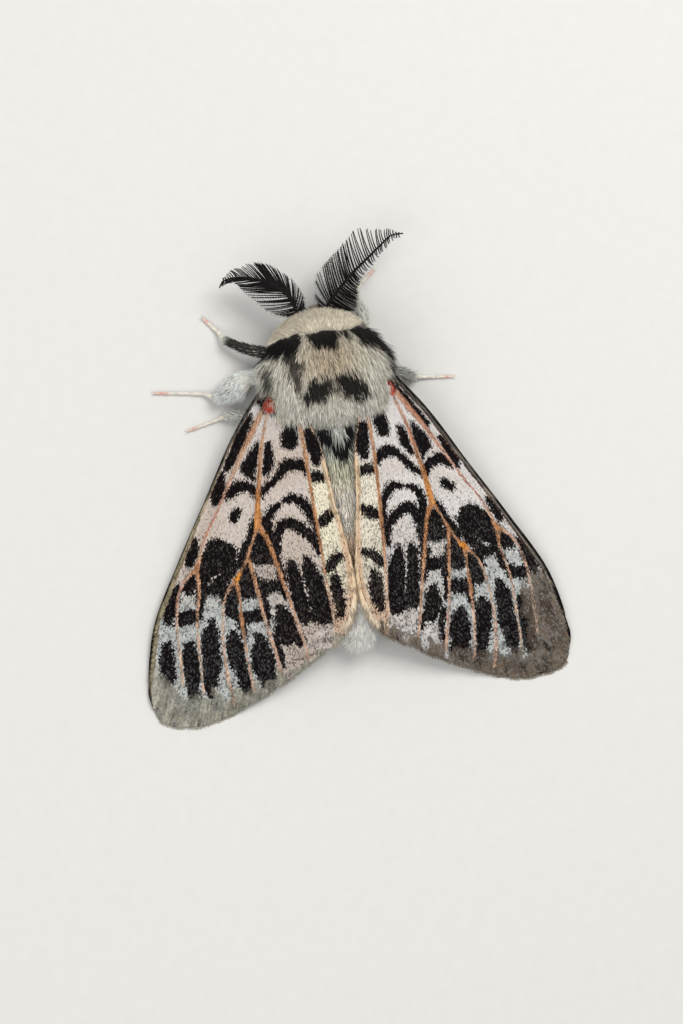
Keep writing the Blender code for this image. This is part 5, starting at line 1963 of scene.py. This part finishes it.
@dataclass
class WingHair:
    """Hair on the wing's base and along its inner margin."""

    side: Side
    plan: WingPlan
    wing: Forewing
    margin_count: int = 3400
    base_count: int = 900
    finish: HairFinish = HairFinish("wing_hair", 0.6)

    def build(self, shop: Workshop) -> None:
        """Make the hair.

        Args:
            shop: Where pieces are made.
        """
        rng = np.random.default_rng(80 + self.side.value)
        margin = smooth_line(np.array(self.plan.inner)[::-1], 6)
        along = rng.uniform(12.5, 27.0, self.margin_count)
        along = np.where(rng.random(len(along)) < 0.6, rng.uniform(17.0, 26.5, len(along)), along)
        inner = np.interp(along, margin[:, 1], margin[:, 0])
        out = inner + 0.03 + rng.gamma(1.2, 0.07 + 0.06 * ramp(along, 15, 19), len(along))
        base_out, base_along = rng.uniform(2.8, 5.2, self.base_count), rng.uniform(6.4, 8.4, self.base_count)
        out, along = np.concatenate([out, base_out]), np.concatenate([along, base_along])
        based = np.arange(len(out)) >= self.margin_count
        keep = out < self.plan.costa_at(along) - 0.3
        keep &= ~(based & (np.hypot(out - 5.1, along - 7.6) < 0.8))
        out, along, based = out[keep], along[keep], based[keep]
        count = len(out)
        high = self.wing.top(out, along, np.full(count, -5.0))
        slope = self.wing.top(out, along + 0.3, np.full(count, -5.0)) - high
        inward = -0.34 * ramp(along, 15.5, 18.5) * (1 - ramp(along, 25.5, 27.0)) * (1 - based)
        lies = unit(np.stack([(inward + 0.12 * based + rng.normal(0, 0.07, count)) * self.side.value,
                              np.ones(count), slope / 0.3 + 0.02], axis=1))
        mix = WingPattern.blend
        tint = mix(srgb(206, 172, 138), srgb(216, 202, 174), rng.random(count))
        tint = mix(tint, srgb(214, 200, 178), ramp(along, 23.5, 25.5))
        tint = mix(tint, COAT_GREY, based * 0.9)
        tint = mix(tint, srgb(150, 104, 66), (rng.random(count) < 0.1) * 0.6)
        lengths = np.where(based, rng.uniform(0.8, 1.5, count), rng.uniform(0.6, 1.3, count))
        tufts = Tufts(np.stack([out * self.side.value, along, high - 0.01], axis=1), lies,
                      np.tile((0.0, 0.0, 1.0), (count, 1)), lengths, rng.uniform(0.04, 0.08, count),
                      np.full(count, 0.05), tint * 0.85, tint * 1.05,
                      Forewing.unwrap(np.stack([out, along], axis=1)),
                      long_rings=False)
        tufts.pieces(shop, f"forewing_{self.side.word}_hair", self.finish, Slot.WING)
        self.spot(rng).pieces(shop, f"forewing_{self.side.word}_spot", self.finish, Slot.WING)

    def spot(self, rng: np.random.Generator) -> Tufts:
        """Set the small red tuft at the wing's base.

        Args:
            rng: The seeded generator.

        Returns:
            The red tufts.
        """
        left = self.side is Side.LEFT
        count = 560 if left else 260
        ring = np.arange(count) % 4 == 0
        size = 0.44 if left else 0.3
        reach = np.where(ring, size * rng.uniform(1.15, 1.6, count), size * np.sqrt(rng.random(count)))
        turn = rng.uniform(0, math.tau, count)
        turn = np.where(ring, rng.choice((-0.4, 0.3, 2.2), count) + rng.normal(0, 0.35, count), turn)
        centre = (5.1, 7.62) if left else (5.2, 7.3)
        out, along = centre[0] + reach * np.cos(turn), centre[1] + reach * np.sin(turn)
        high = self.wing.top(out, along, np.full(count, -5.0))
        lies = unit(np.stack([(0.6 * np.cos(turn)) * self.side.value, 0.6 * np.sin(turn) + 0.5,
                              0.1 + 0.5 * rng.random(count)], axis=1) + rng.normal(0, 0.3, (count, 3)))
        tint = WingPattern.blend(RED_SPOT, srgb(226, 120, 92), rng.random(count) ** 2)
        tint = WingPattern.blend(tint, srgb(96, 30, 26), (rng.random(count) < 0.25) * 0.8)
        tint = WingPattern.blend(tint, COAT_DARK, ring * 1.0)
        return Tufts(np.stack([out * self.side.value, along, high + 0.05], axis=1), lies,
                     np.tile((0.0, 0.0, 1.0), (count, 1)), rng.uniform(0.15, 0.5, count),
                     rng.uniform(0.025, 0.045, count), np.full(count, 0.1), tint * 0.5, tint * 1.1,
                     Forewing.unwrap(np.stack([out, along], axis=1)),
                     long_rings=False)


# Feelers, eyes and legs

@dataclass
class Feeler:
    """One comb-like feeler: a shaft, two rows of fine rami and their bristles."""

    side: Side
    shaft: tuple
    ahead: tuple
    behind: tuple
    droops: tuple[float, float]
    rows: tuple[tuple[float, float, float, int], ...]
    heights: tuple = (4.0, 4.3, 4.4, 4.3, 4.1, 3.8, 3.6, 3.3)
    rami: int = 42
    shaft_radii: tuple[float, float] = (0.15, 0.06)
    ramus_radii: tuple[float, float] = (0.064, 0.03)
    finish: ShellFinish = ShellFinish("feeler_shell")
    hair: HairFinish = HairFinish("feeler_bristles", 0.6, 0.06)

    def lines(self) -> tuple[Points, Points, Points]:
        """The shaft and the two rows of tips.

        Returns:
            Three lines of 200 points each.
        """
        steps = np.linspace(0, 1, len(self.shaft))
        heights = np.interp(steps, np.linspace(0, 1, len(self.heights)), self.heights)
        shaft = np.column_stack([np.array(self.shaft), heights])
        return tuple(even_line(smooth_line(row, 10), 200) for row in (shaft, self.ahead, self.behind))

    def build(self, shop: Workshop) -> None:
        """Make the feeler.

        Args:
            shop: Where pieces are made.
        """
        shaft, *combs = self.lines()
        rng = np.random.default_rng(200 + self.side.value)
        count = 90
        line = even_line(shaft, count)
        knots = 1 + 0.12 * np.cos(np.arange(count) * math.pi)
        shares = np.linspace(0, 1, count)
        radii = np.interp(shares, (0, 0.05, 1), (0.24, self.shaft_radii[0], self.shaft_radii[1])) * knots
        parts = [tube(line, radii, 8)]
        bristles: list[tuple[Points, ...]] = []
        for comb, droop, (low, high, reach, extra) in zip(combs, self.droops, self.rows):
            for share in (*np.linspace(0.02, 0.97, self.rami), *np.linspace(0.06, 0.46, extra)):
                share = share + rng.normal(0, 0.002)
                root = self.at(shaft, share)
                slant = low + (high - low) * ramp(np.array(share), 0.05, reach)
                tip2 = self.at(comb, min(1.0, share + slant * (1 - share)))
                fade = 1 - 0.45 * ramp(np.array(share), 0.85, 1.0)
                tip = np.array((*tip2[:2], root[2] - droop * (1 - 0.5 * share) + rng.normal(0, 0.05)))
                tip = root + (tip - root) * fade + np.append(rng.normal(0, 0.06, 2), 0)
                run = self.at(shaft, min(1.0, share + 0.05)) - root
                middle = (root + tip) / 2 - run * 0.3 + np.array((0, 0, 0.12))
                t = np.linspace(0, 1, 7)[:, None]
                ramus = root * (1 - t) ** 2 + 2 * middle * t * (1 - t) + tip * t ** 2
                parts.append(tube(ramus, np.linspace(*self.ramus_radii, 7), 4))
                spots = even_line(ramus, 30)[2:]
                size = np.full(len(spots), 2.3 - 1.5 * ramp(np.array(share), 0.15, 0.55))
                bristles.append((spots, *(np.tile(unit(way), (len(spots), 1)) for way in (tip - root, run)),
                                 size))
        data = MeshData.joined(parts)
        name = f"antenna_{self.side.word}"
        shop.piece(f"{name}_comb", data, self.finish, (name,))
        self.bristle(bristles, rng).pieces(shop, f"{name}_bristles", self.hair, Slot.ANTENNA)

    def bristle(self, rows: Sequence[tuple[Points, ...]], rng: np.random.Generator) -> Tufts:
        """Set fine bristles along the rami.

        Args:
            rows: Places, directions, the shaft's directions and the bristles' sizes.
            rng: The seeded generator.

        Returns:
            The bristles.
        """
        roots, runs, sides, sizes = (np.concatenate(part) for part in zip(*rows))
        signs = np.where(np.arange(len(roots)) % 2, 1.0, -1.0)[:, None]
        lies = unit(runs * 0.6 + sides * signs + rng.normal(0, 0.15, roots.shape))
        normals = unit(np.cross(lies, runs))
        count = len(roots)
        tint = np.tile(srgb(20, 16, 15), (count, 1))
        unwrap = np.stack([0.1 + 0.8 * np.arange(count) / count, 0.1 + 0.8 * (np.arange(count) % 29) / 29],
                          axis=1)
        return Tufts(roots, lies, normals, sizes * rng.uniform(0.09, 0.16, count), np.full(count, 0.024),
                     np.zeros(count), tint, tint * 1.3, unwrap, long_rings=False)

    @staticmethod
    def at(line: Points, share: float) -> Points:
        """The point at a share of a line."""
        return line[int(round(clamp(np.array(share)) * (len(line) - 1)))]


@dataclass
class Eye:
    """One faceted eye in its socket."""

    side: Side
    plan: EyePlan
    flatten: float = 0.97
    finish: EyeFinish = EyeFinish()

    def build(self, shop: Workshop) -> None:
        """Make the eye from a flattened ball.

        Args:
            shop: Where pieces are made.
        """
        centre = self.plan.centre(self.side)
        bpy.ops.object.select_all(action="DESELECT")
        bpy.ops.mesh.primitive_ico_sphere_add(subdivisions=5, radius=self.plan.radius, location=tuple(centre))
        eye = bpy.context.object
        eye.scale = (self.flatten, self.flatten, 1.0)
        bpy.ops.object.transform_apply(location=True, rotation=True, scale=True)
        points = np.empty(len(eye.data.vertices) * 3)
        eye.data.vertices.foreach_get("co", points)
        eye.data.vertices.foreach_set("co", shop.frame.place(points.reshape(-1, 3)).ravel())
        eye.data.update()
        bpy.ops.object.shade_smooth()
        bpy.ops.object.select_all(action="DESELECT")
        eye.name = f"eye_{self.side.word}_facets"
        eye.data.name = eye.name
        shop.settle(eye, self.finish, (f"eye_{self.side.word}",))


@dataclass
class Leg:
    """One leg: hip to knee, shin, a jointed foot with two claws, and its fur."""

    name: str
    joints: tuple
    fluff: float = 1.0
    dark_share: float = 0.0
    radii: tuple = (0.42, 0.36, 0.21, 0.14, 0.1)
    fur_count: int = 2200
    swell: tuple[float, float, float] = (0.5, 0.2, 0.0)
    fur_tone: Colour = LEG_GREY
    finish: ShellFinish = ShellFinish("leg_shell", LEG_SKIN, 0.5, 0.3, 0.008)
    hair: HairFinish = HairFinish("leg_hair", 0.6)

    def line(self) -> Points:
        """The leg's middle line, lowered on to its foot.

        Returns:
            Evenly spaced points.
        """
        base = np.array(self.joints, float)
        base[-1, 2], base[-2, 2] = 0.16, 0.3
        return even_line(smooth_line(base, 8), 60)

    def build(self, shop: Workshop) -> None:
        """Make the leg and its fur.

        Args:
            shop: Where pieces are made.
        """
        line = self.line()
        runs = np.concatenate([[0.0], np.cumsum(np.linalg.norm(np.diff(np.array(self.joints), axis=0),
                                                               axis=1))])
        marks = runs / runs[-1]
        shares = np.linspace(0, 1, len(line))
        radii = np.interp(shares, marks, self.radii)
        radii = radii + self.swell[2] * np.exp(-((shares - self.swell[0]) / self.swell[1]) ** 2)
        foot = shares > marks[2]
        radii = radii * np.where(foot, 1 + 0.16
                                 * np.cos((shares - marks[2]) / (1 - marks[2]) * math.tau * 5), 1.0)
        line[:, 2] = np.maximum(line[:, 2], radii + 0.02)
        parts = [tube(line, radii, 12)]
        tip, run = line[-1], unit(line[-1] - line[-4])
        aside = unit(np.cross(run, (0, 0, 1.0)))
        for sign in (-1, 1):
            hook = np.array([tip - run * 0.05, tip + run * 0.14 + aside * 0.1 * sign + (0, 0, 0.04),
                             tip + run * 0.27 + aside * 0.16 * sign + (0, 0, -0.02),
                             tip + run * 0.3 + aside * 0.15 * sign - (0, 0, 0.09)])
            parts.append(tube(even_line(smooth_line(hook, 4), 9), np.linspace(0.05, 0.012, 9), 6))
        shop.piece(f"{self.name}_limb", MeshData.joined(parts), self.finish, (self.name,))
        self.fur(line, radii, marks).pieces(shop, f"{self.name}_fur", self.hair, Slot.LEG)

    def fur(self, line: Points, radii: Points, marks: Points) -> Tufts:
        """Set fur round the leg, long on the shin and very short on the foot.

        Args:
            line: The middle line.
            radii: The radius along it.
            marks: The joints' shares of the length.

        Returns:
            The fur.
        """
        rng = np.random.default_rng(sum(map(ord, self.name)))
        count = self.fur_count
        share = np.clip(rng.beta(1.0, 1.0, count), 0.02, 0.985)
        turn = rng.uniform(0, math.tau, count)
        one, two = side_frames(line)
        spot = share * (len(line) - 1)
        low = np.minimum(spot.astype(int), len(line) - 2)
        part = (spot - low)[:, None]
        centre = line[low] * (1 - part) + line[low + 1] * part
        radius = np.interp(share, np.linspace(0, 1, len(line)), radii)
        normal = unit(one[low] * np.cos(turn)[:, None] + two[low] * np.sin(turn)[:, None])
        run = unit(line[low + 1] - line[low])
        foot = ramp(share, marks[2] - 0.03, marks[2] + 0.06)
        lift = 0.42 * (1 - 0.6 * foot) * self.fluff
        lies = unit(run + normal * lift[:, None] + rng.normal(0, 0.12, run.shape))
        lengths = (rng.uniform(0.75, 1.25, count) * self.fluff) * (1 - foot) + rng.uniform(0.12, 0.24,
                                                                                           count) * foot
        roots = centre + normal * radius[:, None]
        floor_room = np.maximum(roots[:, 2] - 0.05, 0.02)
        drop = np.maximum(-lies[:, 2] * lengths, 1e-6)
        lengths = lengths * np.minimum(1, floor_room / drop)
        mix = WingPattern.blend
        tint = mix(self.fur_tone, LEG_WHITE, rng.random(count) * 0.6)
        tint = mix(tint, LEG_WHITE, foot * 0.8)
        tint = mix(tint, TARSUS_PINK, ramp(share, 0.86, 0.95) * 0.9)
        black = ramp(share, 0.06, 0.12) * ramp(-share, -marks[2] - 0.02, -marks[2] + 0.06) * self.dark_share
        tint = mix(tint, COAT_DARK, black)
        unwrap = np.stack([0.03 + 0.94 * turn / math.tau, 0.03 + 0.94 * share], axis=1)
        return Tufts(roots, lies, normal, lengths, rng.uniform(0.045, 0.085, count) * (1 - 0.4 * foot),
                     np.full(count, 0.08), tint * 0.8, tint * 1.05, unwrap, long_rings=False)


# Studio

@dataclass
class Studio:
    """Plain pale floor, soft lights and the camera."""

    floor_size: float = 1.2
    target: tuple[float, float, float] = (0.07, 3.56, 2.0)
    tilt: float = 6.23
    azimuth: float = 3.2
    roll: float = -8.04
    distance: float = 220.0
    focal_pixels: float = 2566.7
    sensor: float = 24.0
    floor: FloorFinish = FloorFinish()

    def build(self) -> None:
        """Make the floor, the lights and the camera."""
        bpy.ops.mesh.primitive_grid_add(x_subdivisions=8, y_subdivisions=8, size=self.floor_size)
        ground = bpy.context.object
        ground.name = "floor"
        ground.data.materials.append(self.floor.material())
        bpy.ops.object.select_all(action="DESELECT")
        self.light("key", (-0.10, -0.12, 0.26), 0.16, 0.72, (1.0, 0.975, 0.94))
        self.light("fill", (0.16, 0.10, 0.22), 0.22, 0.30, (1.0, 0.985, 0.96))
        world = bpy.data.worlds.new("studio_air")
        world.use_nodes = True
        world.node_tree.nodes["Background"].inputs["Color"].default_value = (1.0, 0.99, 0.975, 1.0)
        world.node_tree.nodes["Background"].inputs["Strength"].default_value = 0.62
        bpy.context.scene.world = world
        bpy.context.scene.view_settings.view_transform = "Standard"
        self.camera()

    def light(self, name: str, place: tuple, size: float, power: float, colour: Colour) -> None:
        """Add a soft light that faces the moth.

        Args:
            name: The light's name.
            place: Where it is, in metres.
            size: How wide it is.
            power: How strong it is.
            colour: Its colour.
        """
        bpy.ops.object.light_add(type="AREA", location=place)
        lamp = bpy.context.object
        lamp.name = name
        lamp.data.size = size
        lamp.data.energy = power
        lamp.data.color = colour
        lamp.rotation_euler = (Vector((0.0, 0.0, 0.003)) - Vector(place)).to_track_quat("-Z", "Y").to_euler()

    def camera(self) -> None:
        """Add the camera at the photograph's angle."""
        tilt, azimuth, roll = (math.radians(a) for a in (self.tilt, self.azimuth, self.roll))
        toward = Vector((math.sin(tilt) * math.cos(azimuth), math.sin(tilt) * math.sin(azimuth),
                         math.cos(tilt)))
        right = Vector((0.0, -1.0, 0.0)).cross(toward).normalized()
        up = toward.cross(right)
        turned_right = right * math.cos(roll) + up * math.sin(roll)
        turned_up = up * math.cos(roll) - right * math.sin(roll)
        spot = (Vector(self.target) + toward * self.distance) * MM
        data = bpy.data.cameras.new("camera")
        data.sensor_fit = "VERTICAL"
        data.sensor_height = self.sensor
        data.lens = self.focal_pixels / IMAGE_HEIGHT * self.sensor
        data.clip_start = 0.004
        camera = bpy.data.objects.new("camera", data)
        camera.matrix_world = Matrix.Translation(spot) @ Matrix((turned_right, turned_up,
                                                                 toward)).transposed().to_4x4()
        bpy.context.scene.collection.objects.link(camera)
        bpy.context.scene.camera = camera


LEGS: tuple[Leg, ...] = (
    Leg("foreleg_left", ((2.0, 3.4, 2.2), (5.4, 2.7, 1.9), (7.6, 1.5, 1.1), (8.4, 0.4, 0.45),
                         (9.4, -0.8, 0.22)),
        0.6, 0.95),
    Leg("foreleg_right", ((-2.0, 3.2, 2.2), (-4.1, 1.5, 2.1), (-3.7, -1.0, 1.2), (-4.3, -1.8, 0.5),
                          (-5.8, -3.0, 0.22)), 0.8, 0.0, fur_count=2600),
    Leg("midleg_left", ((2.2, 5.4, 2.0), (6.0, 4.9, 1.9), (8.9, 6.2, 1.1), (10.4, 5.6, 0.45),
                        (14.4, 5.0, 0.22)),
        0.75, 0.0, fur_count=4600, swell=(0.4, 0.09, 0.75), fur_tone=srgb(232, 240, 240)),
    Leg("midleg_right", ((-2.2, 5.4, 2.0), (-5.6, 5.7, 1.9), (-7.6, 6.5, 1.1), (-8.8, 6.7, 0.45),
                         (-11.4, 7.0, 0.22)),
        0.8, 0.4),
    Leg("hindleg_left", ((2.0, 7.4, 2.0), (5.2, 8.6, 1.2), (8.2, 7.8, 0.8), (9.4, 8.0, 0.45),
                         (12.0, 8.6, 0.22)), 0.8),
    Leg("hindleg_right", ((-2.0, 7.4, 2.0), (-4.8, 9.0, 1.2), (-6.6, 11.4, 0.8), (-7.0, 12.6, 0.45),
                          (-8.2, 15.6, 0.22)), 0.6),
)

FEELERS: tuple[Feeler, ...] = (
    Feeler(Side.LEFT,
           ((1.1, 0.9), (1.75, -0.19), (2.13, -1.15), (2.55, -1.73), (3.08, -2.2), (3.61, -2.62),
            (4.24, -3.01),
            (5.05, -3.3), (5.87, -3.52), (6.72, -3.58), (7.41, -3.46), (7.7, -3.21), (7.85, -2.95)),
           ((0.9, 0.4), (0.97, -0.64), (1.15, -1.78), (1.85, -2.87), (2.61, -3.58), (3.38, -4.16),
            (4.02, -4.42),
            (4.69, -4.56), (5.37, -4.53), (5.99, -4.36), (6.61, -4.23), (7.15, -4.01), (7.8, -3.4)),
           ((1.9, 0.9), (2.46, 0.26), (3.77, -0.22), (4.39, -0.65), (4.66, -1.12), (5.26, -1.68),
            (5.7, -2.18), (6.14, -2.67), (6.42, -3.1), (6.97, -3.3), (7.75, -3.0)),
           (0.35, 0.6), ((0.0, 0.38, 0.37, 34), (0.05, 0.58, 0.4, 10))),
    Feeler(Side.RIGHT,
           ((-0.9, 0.8), (-0.96, -0.18), (-2.3, -1.59), (-3.52, -2.7), (-4.58, -3.49), (-5.48, -4.18),
            (-6.25, -4.76), (-6.86, -5.22), (-7.45, -5.52), (-8.4, -5.55)),
           ((-0.1, 0.6), (-0.17, -0.23), (0.02, -1.55), (-0.33, -2.46), (-0.68, -3.1), (-1.59, -3.94),
            (-2.28, -4.54),
            (-2.98, -5.15), (-3.6, -5.77), (-4.1, -6.19), (-4.72, -6.29), (-5.58, -6.14), (-6.45, -6.08),
            (-7.32, -6.06), (-8.4, -5.75)),
           ((-1.4, 0.9), (-1.93, 0.03), (-2.92, 0.41), (-3.47, 0.22), (-3.68, -0.62), (-3.89, -1.46),
            (-4.26, -2.19), (-4.97, -2.88), (-5.78, -3.65), (-6.59, -4.41), (-7.38, -5.01), (-8.4, -5.42)),
           (0.35, 1.4), ((0.02, 0.22, 0.17, 16), (0.05, 0.08, 0.3, 30))),
)


def main() -> None:
    """Build the moth piece by piece, then the studio."""
    logging.basicConfig(level=logging.INFO, format="%(name)s: %(message)s")
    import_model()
    bpy.ops.object.select_all(action="DESELECT")
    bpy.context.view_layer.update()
    eyes = EyePlan()
    shop = Workshop(BodyFrame.from_eyes(eyes))
    plan = WingPlan()
    for side in Side:
        wing = Forewing(side, plan)
        wing.build(shop)
        WingHair(side, plan, wing).build(shop)
        Hindwing(side, plan).build(shop)
        Eye(side, eyes).build(shop)
    Coat(BodySkin(), eyes).build(shop)
    for feeler in FEELERS:
        feeler.build(shop)
    for leg in LEGS:
        leg.build(shop)
    Studio().build()


if __name__ == "__main__":
    main()
